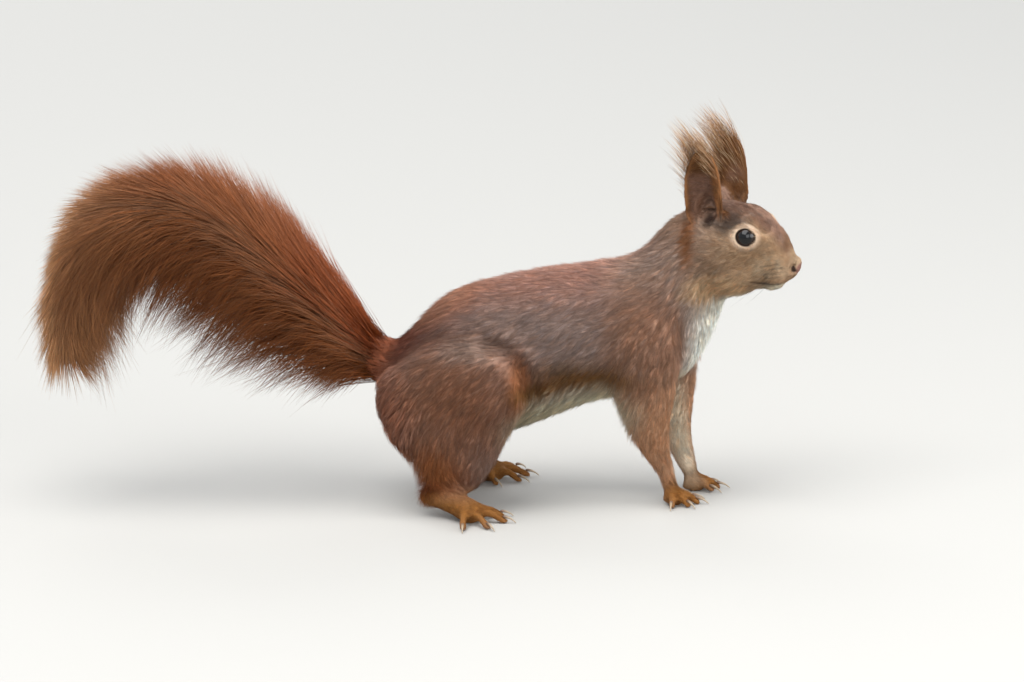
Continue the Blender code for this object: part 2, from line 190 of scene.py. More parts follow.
# ---- the skin
skinPlan = {
    "voxel": 0.8,
    "swell": 0.25,  # closes the cuts between the solids
    "weld": 0.02,
    "eyeRoom": 1.08,  # the eyeballs' size under it, for the lids to close on
    "softening": 5,  # rounds of smoothing while it sinks
    "thin": (((9, 14, 34), (13, 8, 20), 1), ((47, 0, -7), (5, 5, 5.5), 0.35)),  # ears and nose: less
    "tailFoot": ((-57, 0, 67), 19, 30),  # smoothed more: middle, reach and rounds
    "lowest": 0.05,
    "keep": 0.36,  # of its faces, before the face is made finer
    "finer": ((12, 26), (8.6, 99)),  # nearer an eye than this, or further ahead in the head
    "evened": (14, 24),  # the same, for the smoothing after it
    # the flesh of the tail: x, y, z and radius
    "tailCore": (
        (-36, 0, 62, 15), (-48, 0, 62.5, 11), (-57, 0, 67, 8.6), (-70, 0, 79, 7), (-85, 1, 94.5, 6.2),
        (-100, 2, 111, 5.6), (-116, 3, 125.5, 5), (-130, 3.5, 136.5, 4.6), (-145, 4.5, 142.5, 4.3),
        (-160, 5, 143.5, 4), (-175, 6, 140.5, 3.7), (-188, 6.5, 132.5, 3.4), (-197, 7, 120, 3.1),
        (-202, 7, 105, 2.8), (-204, 7, 91, 2.3), (-204.5, 7, 79, 1.8),
    ),
    "sink": 2.6,  # the coat's depth, and where it differs
    "bodySinks": (
        ((97, 0, 84), (16, 14, 30), 4.4), ((-10, 0, 100), (70, 22, 14), 3.2),
        ((76, 20, 40), (14, 14, 16), 1.1), ((82, 14, 22), (14, 12, 14), 1.0),
        ((84, 14, 5), (18, 16, 11), 0.45), ((-22, 26, 24), (16, 14, 14), 1.2),
        ((-44, 18, 36), (11, 18, 24), 0.9), ((-14, 36, 5), (36, 28, 12.5), 0.5),
    ),
    "headSinks": (
        ((14, 0, 0), (26, 30, 30), 1.9), ((34, 0, -4), (14, 18, 26), 1.0),
        ((27.6, 11, 7), (9, 9, 9), 0.3), ((34, 8, 13.5), (8, 4.0, 4.5), 2.8),
        ((31, 0, 17), (10, 3.4, 6), -0.3), ((45, 0, -8), (8, 8, 9), 0.3),
        ((9, 15, 33), (12, 9, 24), 0.0),
    ),
}
pinnaPlan = {
    "foot": 10.0, "tip": 47.0,  # heights above the nape joint
    "ahead": (9.0, 10.4),  # middle of the cup, at its foot and at its tip
    "halfWidth": 10.4,
    "wall": (7.6, 15.0),  # the cup's back wall from the middle plane, at its foot and at its tip
    "rim": (16.2, 18.4),  # and its rim
    "bowl": ((9.4, 18.6), (5.2, 8.6), 5.0),  # the hollow at its foot: middle, reach and depth
    "shade": (13.5, 37.5),  # its dark inside, from this height to this one
    "thick": 1.3,
    "curl": 1.2,  # how far the rim rolls back over the cup
}
nosePlan = {"middle": (46.6, 0, -7.0), "radii": (3.1, 3.4, 3.5)}
lidPlan = {
    "outward": (0.21, 0.95, 0.16),
    "tilt": -8.0,  # degrees, the front corner lower
    "opening": (4.2, 3.7),
    "ring": (6.9, 6.0),  # the pale ring round it
    "proud": 0.42, "sunk": 1.9, "reach": 1.95,
}
mouthLine = ((26.5, -14.7), (30.0, -15.7), (35.2, -16.3), (40.2, -16.2))
nostrilLine = ((46.9, -7.4), (46.0, -8.6), (46.2, -10.0), (47.3, -10.8))
thighLine = ((-4.0, 80.5), (3.0, 78.4), (9.5, 73.6), (13.6, 66.0), (15.0, 56.0))
creasePlan = (
    # lines on the side of the head or the body, as ahead and up; half width, depth, lip beside it, and
    # how far out from the middle it starts
    ("head", mouthLine, 0.6, 1.15, 0.2, 1.0),
    ("head", nostrilLine, 0.75, 1.2, 0.1, 1.3),
    ("head", ((47.4, -11.4), (45.4, -13.4)), 0.5, 0.3, 0.0, 0.0),  # the groove below the nose
    ("body", thighLine, 3.2, 2.2, 0.5, 16.0),
    ("body", ((52.0, 60.0), (56.0, 68.0), (60.0, 74.0)), 3.0, 1.2, 0.3, 14.0),  # the elbow fold
)


def tailCore():
    stations = skinPlan["tailCore"]
    bpy.ops.curve.primitive_nurbs_path_add()
    core = bpy.context.object
    line = core.data.splines[0]
    line.points.add(len(stations) - len(line.points))
    for point, (x, y, z, radius) in zip(line.points, stations):
        point.co = (*((np.array((x, y, z)) + bodyStart) * mm), 1)
        point.radius = radius
    line.use_endpoint_u = True
    core.data.bevel_depth = mm
    core.data.use_fill_caps = True
    select(core)
    bpy.ops.object.convert(target="MESH")
    return core


def noseBall():
    middle, radii = nosePlan["middle"], nosePlan["radii"]
    bpy.ops.mesh.primitive_uv_sphere_add(segments=24, ring_count=16, radius=1)
    ball = bpy.context.object
    writePlaces(ball, fromHead(middle + np.array([v.co for v in ball.data.vertices]) * radii))
    return ball


def pinna(side):
    # an upright cup, open outwards, narrowing to its tip
    plan = pinnaPlan
    bpy.ops.mesh.primitive_grid_add(x_subdivisions=16, y_subdivisions=26, size=2)
    cup = bpy.context.object
    across, up = np.array([v.co[:2] for v in cup.data.vertices]).T
    up = (up + 1) / 2
    taper = np.sqrt(np.clip(1 - np.clip((up - 0.3) / 0.72, 0, 1) ** 2.4, 0, 1))
    taper *= 0.72 + 0.28 * ease(up, 0, 0.25)
    wall, rim, ahead = (mixed(*plan[k], up) for k in ("wall", "rim", "ahead"))
    out = wall + (rim - wall) * np.abs(across) ** 1.7 * (0.35 + 0.65 * taper)
    ahead = ahead + across * plan["halfWidth"] * taper
    ahead -= plan["curl"] * np.clip(np.abs(across) - 0.8, 0, 1) * 5 * np.sign(across) * taper
    height = mixed(plan["foot"], plan["tip"], up)
    writePlaces(cup, fromHead(np.stack((ahead, side * out, height), axis=1)))
    applied(cup, "SOLIDIFY", thickness=plan["thick"] * mm, offset=0)
    return cup


def neighbours(thing):
    one, other = pulled(thing.data.edges, "vertices", 2, int).T
    return np.concatenate((one, other)), np.concatenate((other, one))


def relaxed(places, links, strength):
    # each place moves towards the mean of its neighbours
    start, end = links
    count = np.bincount(start, minlength=len(places))
    mean = np.stack([np.bincount(start, places[end, i], len(places)) for i in range(3)], axis=1)
    mean /= np.maximum(count, 1)[:, None]
    return places + (mean - places) * np.reshape(strength, (-1, 1))


def pointNormals(thing):
    return pulled(thing.data.vertex_normals, "vector", 3, np.float32).astype(float)


def selectFaces(thing, chosen):
    # picks the faces whose middles are chosen, ready for edit mode
    select(thing)
    mesh = thing.data
    middles = pulled(mesh.polygons, "center", 3) / mm - bodyStart
    for rows in (mesh.vertices, mesh.edges):
        rows.foreach_set("select", np.zeros(len(rows), bool))
    mesh.polygons.foreach_set("select", chosen(middles))


def subdivided(thing, chosen):
    bpy.context.tool_settings.mesh_select_mode = (False, False, True)
    selectFaces(thing, chosen)
    bpy.ops.object.mode_set(mode="EDIT")
    bpy.ops.mesh.subdivide(number_cuts=1)
    bpy.ops.object.mode_set(mode="OBJECT")


def eyeAxes(side):
    # out of the eye, along its slit and across it, in the body's directions
    out = unit(np.array(lidPlan["outward"]) * (1, side, 1))
    tilt = math.radians(lidPlan["tilt"])
    slit = np.array((math.cos(tilt), 0, math.sin(tilt)))
    slit = unit(slit - out * (slit @ out))
    return out @ headTurn, slit @ headTurn, np.cross(out, slit) @ headTurn


def eyeCentre(side):
    return fromHead(eyesInHead + (0, side * eyeGap, 0))


eyeGap = (eyeMid["left"] - eyeMid["right"]).length / 2 / mm
eyeRadius = (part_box("eye_right")[1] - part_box("eye_right")[0]).z / 2 / mm


def overEye(places, side, oval):
    # how far these places stand out of the eye, along its slit, across it, and how many ovals away
    out, slit, over = eyeAxes(side)
    fromEye = places - eyeCentre(side)
    along, across = fromEye @ slit, fromEye @ over
    return fromEye @ out, along, across, np.hypot(along / oval[0], across / oval[1])


def shapeLids(places):
    plan = lidPlan
    for side in (-1, 1):
        high, along, across, wide = overEye(places, side, plan["opening"])
        rimOut = np.hypot(along, across) / np.maximum(wide, 1e-6)
        rim = np.sqrt(np.maximum(eyeRadius**2 - rimOut**2, 0.1)) + plan["proud"]
        lid = mixed(rim, high, ease(wide, 1.06, plan["reach"]))
        inside = rim - plan["sunk"] * (1 - ease(wide, 0.8, 0.99))
        wanted = np.where(wide < 1.0, inside, lid)
        near = (high > -1.5) & (wide < plan["reach"])
        moved = places + eyeAxes(side)[0] * (wanted - high)[:, None]
        places = np.where(near[:, None], moved, places)
    return places


def fromLine(spots, line):
    # how far these spots are from a bent line
    best = np.full(len(spots), 1e9)
    for a, b in zip(line, line[1:]):
        a, b = np.array(a), np.array(b)
        along = np.clip((spots - a) @ (b - a) / ((b - a) @ (b - a)), 0, 1)
        best = np.minimum(best, lengths(spots - a - along[:, None] * (b - a)))
    return best


def shapeCreases(places, normals, where):
    for own, line, width, depth, lip, start in creasePlan:
        if own != where:
            continue
        spots = toHead(places) if own == "head" else places
        off = fromLine(spots[:, (0, 2)], line)
        off = np.where((spots[:, 0] > 20) | (own == "body"), off, 99)
        share = ease(np.abs(spots[:, 1]), start - 0.5, start + 1.0)
        dent = -depth * np.exp(-((off / width) ** 2))
        dent = dent + lip * np.exp(-(((off - 2.2 * width) / width) ** 2))
        places = places + normals * (dent * share)[:, None]
    return places


def hollowed(spots):
    # the bowl of each ear, pressed into the side of the head
    middle, reach, depth = pinnaPlan["bowl"]
    far = lengths((spots[:, (0, 2)] - middle) / np.array(reach))
    own = (1 - ease(far, 0.45, 1.05)) * ease(np.abs(spots[:, 1]), 8.5, 10.5)
    return spots - np.outer(np.sign(spots[:, 1]) * own * depth, (0, 1, 0))


def sinkOf(places):
    plan = skinPlan
    sink = daubed(places, plan["sink"], plan["bodySinks"])
    sink = laidOver(sink, toHead(places), plan["headSinks"], 0.35)
    core = np.array([s[:3] for s in plan["tailCore"]], float)
    return sink[:, 0] * ease(fromLine(places, core), 10, 20)


def fusedFlesh():
    # the solids under the coat as one closed shape, with the tail, nose and ears set in
    plan = skinPlan
    flesh = [n for n in frame["nodes"] if not n.startswith(("eye_", "ear_", "claw_", "tail_"))]
    parts = [copyOf(node) for node in sorted(flesh)]
    for side in ("right", "left"):
        ball = copyOf("eye_" + side)
        middle = np.array(eyeMid[side]) / mm - bodyStart
        writePlaces(ball, middle + (readPlaces(ball) - middle) * plan["eyeRoom"])
        parts.append(ball)
    skin = joined(*parts)
    welded(skin, plan["weld"])
    applied(skin, "DISPLACE", strength=plan["swell"] * mm, mid_level=0)
    skin = joined(skin, tailCore(), noseBall(), pinna(-1), pinna(1))
    skin.name = "skin"
    applied(skin, "REMESH", mode="VOXEL", voxel_size=plan["voxel"] * mm)
    return skin


def sinkSkin(skin):
    # smooths the skin and draws it in by the coat's depth
    plan = skinPlan
    links = neighbours(skin)
    places = readPlaces(skin)
    thin = daubed(toHead(places), 0, plan["thin"])[:, 0]
    sink = sinkOf(places)
    for turn in range(plan["softening"]):
        normals = pointNormals(skin)
        places = relaxed(places, links, 0.5 - 0.42 * thin)
        places = places - normals * sink[:, None] / plan["softening"]
        writePlaces(skin, places)
    places = shapeCreases(places, pointNormals(skin), "body")
    places = fromHead(hollowed(toHead(places)))
    middle, reach, rounds = plan["tailFoot"]
    byTail = lengths(places - middle)
    for turn in range(rounds):
        places = relaxed(places, links, 0.6 * (byTail < reach) + 0.25 * (turn < 2) * (1 - thin))
    places[:, 2] = np.maximum(places[:, 2], plan["lowest"])
    writePlaces(skin, places)
    applied(skin, "DECIMATE", ratio=plan["keep"])


def finishFace(skin):
    # finer faces round the eyes and muzzle, then the lips, nostrils and lids
    def onFace(spots, gap, ahead):
        byEyes = np.minimum(*(lengths(spots - eyeCentre(s)) for s in (-1, 1)))
        return (byEyes < gap) | (toHead(spots)[:, 0] > ahead)

    for bounds in skinPlan["finer"]:
        subdivided(skin, lambda spots: onFace(spots, *bounds))
    links = neighbours(skin)
    places = readPlaces(skin)
    for turn in range(4):
        places = relaxed(places, links, 0.5 * onFace(places, *skinPlan["evened"]))
    writePlaces(skin, places)
    places = shapeCreases(places, pointNormals(skin), "head")
    writePlaces(skin, shapeLids(places))
    bpy.ops.object.shade_smooth()


skin = fusedFlesh()
print("skin fused:", len(skin.data.polygons), "faces")
sinkSkin(skin)
finishFace(skin)
print("skin shaped:", len(skin.data.polygons), "faces")

# ---- the coat's colours, which skin and hair share
furTones = {
    "back": "#c0917e", "flank": "#a48b7f", "rump": "#8b5644", "thigh": "#9d6d52", "thighTop": "#a38574",
    "thighRim": "#9a623f", "rumpTop": "#c08a6e", "flankLowShade": "#7f6046", "shank": "#9a5e35",
    # the lower flank's tone is painted shade, darker where the body curves under
    "shoulder": "#aa8067", "foreleg": "#cc9a75", "foot": "#96622c", "heel": "#703107",
    "belly": "#d9ceb0", "bib": "#f3f2e7", "fringe": "#81582d", "neck": "#c0a18e", "nape": "#ae8c73",
    "breech": "#8a563e", "inner": "#efdfc4", "tailBase": "#9c5735", "cheek": "#b79573",
    "crown": "#9e7b67", "temple": "#705d50", "muzzle": "#8d6a4f", "side": "#d1b18e", "jaw": "#ddb88f",
    "chin": "#dccdb2", "ring": "#d9bca0", "nose": "#7a564b", "noseRim": "#ba9d7e", "lip": "#4a342c",
    "dark": "#33231b", "earBack": "#633d1b", "earIn": "#825f4c", "rim": "#926038", "strip": "#a6714b",
}
tones = {name: linear(code) for name, code in furTones.items()}
bodyMarks = (
    # an oval's middle and reach, and its tone; later ones lie over earlier ones
    ((20, 0, 112), (90, 24, 20), "back"), ((-38, 0, 78), (32, 22, 34), "rump"),
    ((-28, 0, 98), (24, 18, 12), "rumpTop"), ((-55, 0, 66), (13, 15, 12), "tailBase"),
    ((80, 14, 112), (26, 18, 22), "neck"), ((72, 24, 82), (20, 16, 24), "shoulder"),
    # the dark oval low on the flank is painted shade where the body curves under
    ((64, 24, 58), (17, 16, 18), "shoulder"), ((36, 28, 64), (26, 10, 8), "flankLowShade"),
    ((74, 18, 34), (18, 12, 30), "foreleg"), ((-16, 28, 56), (34, 18, 27), "thigh"),
    ((-45, 20, 48), (12, 16, 24), "breech"), ((-8, 30, 79), (16, 9, 6), "thighTop"),
    ((11, 30, 62), (5, 12, 14), "thighRim"), ((18, 26, 59), (14, 12, 4), "fringe"),
    ((44, 26, 63), (16, 12, 4), "fringe"), ((22, 0, 43), (28, 30, 14), "belly"),
    ((46, 0, 48), (22, 28, 12.5), "belly"), ((6, 0, 46), (24, 14, 14), "belly"),
    ((2, 12, 36), (9, 8, 12), "belly"), ((-30, 26, 24), (18, 16, 16), "shank"),
    ((-34, 24, 12), (12, 9, 9), "heel"), ((-14, 36, 4), (32, 26, 9), "foot"),
    ((84, 14, 5), (17, 14, 9), "foot"), ((95, 0, 76), (15, 14.5, 33), "bib"),
    ((80, 0, 50), (14, 9, 14), "belly"), ((80, 6.5, 36), (11, 6.2, 28), "inner"),
)
headMarks = (
    ((28, 0, -1), (27, 26, 26), "cheek"), ((-4, 0, 12), (12, 14, 14), "nape"),
    ((20, 12, 15), (12, 7, 6.5), "temple"), ((14, 0, 24), (18, 12, 14), "crown"),
    ((29, 0, 21), (11, 9.5, 8), "crown"), ((37, 0, 12), (9, 7.5, 8), "crown"),
    ((42, 0, 5), (7, 5.5, 7), "crown"), ((1.2, 17, 10), (4.0, 8, 16), "strip"),
    ((44, 0, 0), (5, 4.5, 5), "muzzle"), ((38, 9, -8.5), (9, 5, 6), "side"),
    ((14, 13, -17), (15, 10, 7), "jaw"), ((26, 0, -25), (24, 8, 5.5), "chin"),
    ((39, 0, -19.5), (8, 8, 3.6), "chin"), ((6, 0, -30), (14, 10, 9), "bib"),
    ((47, 0, -5), (4.6, 4, 4.4), "noseRim"),
)


whiskerRows = ((-6.9, 5), (-8.9, 6), (-10.9, 6), (-12.8, 5))  # height at the back, and dark roots
padSpots = [(35.0 + 1.5 * i, high + 0.16 * i) for high, count in whiskerRows for i in range(count)]
eyeRing = (0.84, 1.14)  # its soft edge, by the ring's own oval


def inTones(marks):
    return [(middle, reach, tones[name]) for middle, reach, name in marks]


def earTones(found, inHead, outward):
    # the ears: dark inside the cup, orange along the rim
    plan = pinnaPlan
    beside = np.abs(inHead[:, 1])
    out = np.sum(outward @ headTurn.T * (0, 1, 0), axis=1) * np.sign(inHead[:, 1])
    onEar = ease(inHead[:, 2], 13, 17) * (beside > 8) * (np.abs(inHead[:, 0] - 9) < 11.5)
    middle = (inHead[:, 0] - 9.4) / plan["halfWidth"]
    middle = np.where(middle > 0, middle * 1.4, -middle)  # the rim is broader in front
    low, high = plan["shade"]
    cup = ease(out, 0.1, 0.5) * (1 - ease(middle, 0.5, 0.74))
    cup = cup * (1 - ease(inHead[:, 2], high - 4, high + 1))
    bowl, reach, depth = plan["bowl"]
    hollow = lengths((inHead[:, (0, 2)] - bowl) / (np.array(reach) * 0.8))
    cup = np.maximum(cup, (1 - ease(hollow, 0.55, 0.95)) * (out > 0.2))
    thinPatch = 1 - ease(np.hypot(inHead[:, 0] - 14, (inHead[:, 2] - 30) * 0.8), 1.5, 5)
    for share, tone in (
        (ease(beside, 6, 9) * ease(inHead[:, 2], 15, 20), "earBack"),
        (0.6 * thinPatch * (out < 0), "earIn"),
        (ease(middle, 0.6, 0.8) * ease(out, -0.4, 0), "rim"),
        (cup, "earIn"),
    ):
        found += (share * onEar)[:, None] * (tones[tone] - found)


def coatTones(places, outward):
    # the coat's colour at these places, where outward leads out of the skin
    found = daubed(places, tones["flank"], inTones(bodyMarks), 0.55)
    inHead = toHead(places)
    found = laidOver(found, inHead, inTones(headMarks), 0.5)
    for side in (-1, 1):
        high, along, across, ring = overEye(places, side, lidPlan["ring"])
        found += ((1 - ease(ring, *eyeRing)) * ease(high, -1.5, 1.5))[:, None] * (tones["ring"] - found)
    onPad, onLip = (np.abs(inHead[:, 1]) > start for start in (3, 2))
    for spot in padSpots:
        far = lengths(inHead[:, (0, 2)] - spot)
        found *= 1 - 0.6 * (np.exp(-((far / 0.5) ** 2)) * onPad)[:, None]
    lips = fromLine(inHead[:, (0, 2)], mouthLine)
    found *= 1 - 0.6 * (np.exp(-((lips / 0.8) ** 2)) * onLip)[:, None]
    earTones(found, inHead, outward)
    return found


# ---- the lie of the coat: a place and the way the hair points there, the same on both sides
bodyLie = (
    (85, 5, 125, -0.8, 0, -0.5), (84, 18, 106, -0.75, 0, -0.65), (98, 5, 95, -0.1, 0.1, -1),
    (95, 2, 75, -0.2, 0.05, -1), (84, 6, 58, -0.3, 0, -1), (76, 0, 50, -0.8, 0, -0.5),
    (68, 22, 96, -0.8, 0, -0.6), (66, 25, 78, -0.5, 0, -0.85), (66, 25, 60, -0.3, 0, -0.95),
    (80, 16, 70, -0.25, 0.15, -0.95), (72, 20, 40, -0.1, 0, -1), (75, 16, 20, 0.2, 0, -1),
    (80, 13, 10, 0.7, 0, -0.7), (88, 13, 5, 1, 0, -0.3), (50, 5, 108, -1, 0, -0.12),
    (10, 5, 105, -1, 0, -0.2), (-22, 5, 95, -0.9, 0, -0.5), (-45, 4, 76, -0.8, 0, -0.65),
    (45, 25, 85, -0.9, 0, -0.45), (35, 28, 70, -0.88, 0, -0.5), (12, 28, 84, -0.95, 0, -0.35),
    (40, 20, 55, -0.8, 0, -0.7), (40, 8, 46, -0.95, 0, -0.4), (12, 6, 42, -0.95, 0, -0.4),
    (-10, 28, 80, -0.95, 0.1, -0.25), (-32, 24, 76, -0.85, 0, -0.55),
    (12, 28, 62, -0.35, 0.2, -0.95), (0, 30, 66, -0.75, 0.1, -0.7), (-18, 30, 62, -0.75, 0, -0.7),
    (-40, 22, 58, -0.5, 0, -0.9), (0, 28, 45, -0.5, 0, -0.9), (-18, 28, 40, -0.4, 0, -0.95),
    (-30, 26, 26, -0.25, 0, -1), (-14, 27, 26, -0.45, 0, -0.9), (-38, 23, 11, 0.3, 0.1, -0.9),
    (-26, 28, 13, 0.7, 0.3, -0.6), (-14, 37, 8, 0.9, 0.3, -0.3), (-2, 41, 4, 1, 0.1, -0.25),
    (-55, 2, 54, -0.6, 0, -0.9), (-40, 8, 40, -0.4, 0, -0.9), (-47, 6, 76, -0.9, 0, 0.1),
    (-54, 7, 70, -0.9, 0, 0.35), (-50, 9, 60, -0.95, 0, -0.2), (-60, 5, 76, -0.75, 0, 0.6),
    (-60, 7, 68, -0.9, 0, 0.4),
)
headLie = (
    (47, 0, 0, -0.8, 0, 0.7), (40, 3, 9, -0.8, 0, 0.65), (32, 4, 18, -0.9, 0.05, 0.4),
    (18, 5, 22, -1, 0, 0), (4, 5, 18, -0.9, 0, -0.5), (-4, 8, 8, -0.8, 0, -0.65),
    (42, 6, -7, -1, 0.4, -0.05), (36, 10, -3, -1, 0.25, 0.1), (38, 6, -14, -1, 0.2, -0.25),
    (28, 14, -6, -0.95, 0.1, -0.3), (17, 17, -8, -0.9, 0, -0.5), (20, 14, 12, -1, 0.1, 0.15),
    (14, 13, 18, -0.7, 0.3, 0.7), (36, 3, -21, -1, 0.1, -0.1), (20, 6, -24, -0.95, 0.1, -0.35),
    (6, 15, -12, -0.8, 0, -0.6), (9, 17, 14, -0.6, 0.3, 0.6),
)


def lieAt(places):
    rows = []
    for lies, isHead in ((bodyLie, False), (headLie, True)):
        for lie in lies:
            for side in (-1, 1):
                spot, way = np.array(lie, float).reshape(2, 3) * (1, side, 1)
                rows.append((fromHead(spot), way @ headTurn) if isHead else (spot, way))
    total = np.zeros_like(places)
    for spot, way in rows:
        near = np.sum((places - spot) ** 2, axis=1)
        total += unit(way) / (near + 25)[:, None] ** 2
    return unit(total)


def swirl(places, size, seed):
    # a soft field from -1 to 1 whose waves are about size long
    found = np.zeros(len(places))
    shift = np.random.default_rng(seed)
    for wave in range(7):
        way = unit(shift.normal(size=3)) * 2 * math.pi / (size * shift.uniform(0.7, 1.5))
        bend = unit(shift.normal(size=3)) * 2 * math.pi / (size * 2.3)
        within = 1.7 * np.sin(places @ bend + shift.uniform(0, 6))
        found += np.sin(places @ way + within + shift.uniform(0, 6))
    return found / 3.2


class coatGround:
    # the skin as triangles to sow hairs on
    def __init__(self, thing):
        thing.data.calc_loop_triangles()
        self.corners = pulled(thing.data.loop_triangles, "vertices", 3, int)
        self.points = readPlaces(thing)
        self.normals = pointNormals(thing)
        a, b, c = (self.points[self.corners[:, i]] for i in range(3))
        cross = np.cross(b - a, c - a)
        self.area = lengths(cross) / 2
        self.middle = (a + b + c) / 3
        self.flat = unit(self.normals[self.corners].mean(axis=1))
        way = lieAt(self.middle)
        # the hair strays from its lie in waves 14 and 5 mm long
        turn = swirl(self.middle, 14, 5) * 0.16 + swirl(self.middle, 5, 6) * 0.13
        way = way - self.flat * np.sum(way * self.flat, axis=1, keepdims=True)
        way = unit(way)
        self.way = unit(way + np.cross(self.flat, way) * turn[:, None])
        self.tree = BVHTree.FromPolygons(self.points.tolist(), self.corners.tolist())

    def sow(self, density):
        # hairs to the square millimetre on each triangle give roots, their triangles and normals
        wanted = self.area * density
        count = np.floor(wanted + dice.random(len(wanted))).astype(int)
        on = np.repeat(np.arange(len(count)), count)
        u, v = dice.random((2, len(on)))
        flip = u + v > 1
        u, v = np.where(flip, 1 - u, u), np.where(flip, 1 - v, v)
        weight = np.stack((1 - u - v, u, v), axis=1)[:, :, None]
        roots = (self.points[self.corners[on]] * weight).sum(axis=1)
        outward = unit((self.normals[self.corners[on]] * weight).sum(axis=1))
        return roots, on, outward

    def nearest(self, places):
        found = [self.tree.find_nearest(p) for p in places.tolist()]
        return np.array([f[0] for f in found]), np.array([f[2] for f in found])


# ---- finishes
def addNode(tree, kind, settings=(), links=()):
    node = tree.nodes.new(kind)
    for name, value in dict(settings).items():
        if name in node.inputs:
            node.inputs[name].default_value = value
        else:
            setattr(node, name, value)
    for source, socket in links:
        tree.links.new(source, node.inputs[socket])
    return node


def startFinish(name, **settings):
    made = bpy.data.materials.new(name)
    made.use_nodes = True
    shader = made.node_tree.nodes["Principled BSDF"]
    for socket, value in settings.items():
        shader.inputs[socket.replace("_", " ")].default_value = value
    return made, made.node_tree, shader


def variedTone(tree, shader, size, low, high, stretch=(1, 1, 1)):
    # the piece's own tone, made lighter and darker by spots this many millimetres across
    place = addNode(tree, "ShaderNodeTexCoord")
    laid = addNode(tree, "ShaderNodeMapping", {"Scale": stretch}, [(place.outputs["Object"], "Vector")])
    spots = addNode(
        tree, "ShaderNodeTexNoise", {"Scale": 1000 / size, "Detail": 3.0},
        [(laid.outputs["Vector"], "Vector")],
    )
    share = addNode(
        tree, "ShaderNodeMapRange", {"From Min": 0.3, "From Max": 0.7, "To Min": low, "To Max": high},
        [(spots.outputs["Fac"], "Value")],
    )
    tone = addNode(tree, "ShaderNodeAttribute", {"attribute_name": "tone"})
    shaded = addNode(
        tree, "ShaderNodeVectorMath", {"operation": "SCALE"},
        [(tone.outputs["Color"], "Vector"), (share.outputs["Result"], "Scale")],
    )
    tree.links.new(shaded.outputs["Vector"], shader.inputs["Base Color"])
    return spots


def relief(tree, shader, spots, strength, depth):
    # bumps as high as depth in metres where the spots are light
    bump = addNode(
        tree, "ShaderNodeBump", {"Strength": strength, "Distance": depth},
        [(spots.outputs["Fac"], "Height")],
    )
    tree.links.new(bump.outputs["Normal"], shader.inputs["Normal"])


def guardHairFinish():
    # keratin: a smooth scaly cuticle, so each hair has a soft gloss along its length
    made, tree, shader = startFinish("keratinGuardHair", Roughness=0.55, IOR=1.55, Specular_IOR_Level=0.22)
    variedTone(tree, shader, 1.6, 0.9, 1.1)
    return made


def underfurFinish():
    # dense woolly underfur: hairs 0.3 mm apart lying back along the body, matt
    made, tree, shader = startFinish("shortUnderfur", Roughness=0.7, IOR=1.55, Specular_IOR_Level=0.15)
    strands = variedTone(tree, shader, 0.3, 0.8, 1.12, (0.22, 1, 0.6))
    relief(tree, shader, strands, 0.5, 0.0002)
    return made


hairFinish = guardHairFinish()


def writeTones(mesh, values):
    # the finishes read these tones
    layer = mesh.attributes.new("tone", "FLOAT_COLOR", "POINT")
    values = np.hstack((values, np.ones((len(values), 1))))
    layer.data.foreach_set("color", values.astype(np.float32).ravel())


# ---- hair
patchWide = 0.003  # of the coat's map, for each hair
taperOf = {2: (1.0,), 3: (0.8, 1.0), 4: (0.65, 1.0, 0.9), 6: (0.6, 1, 1, 0.8, 0.5)}  # by steps
hairFlat = 0.6  # a hair's thickness by its width


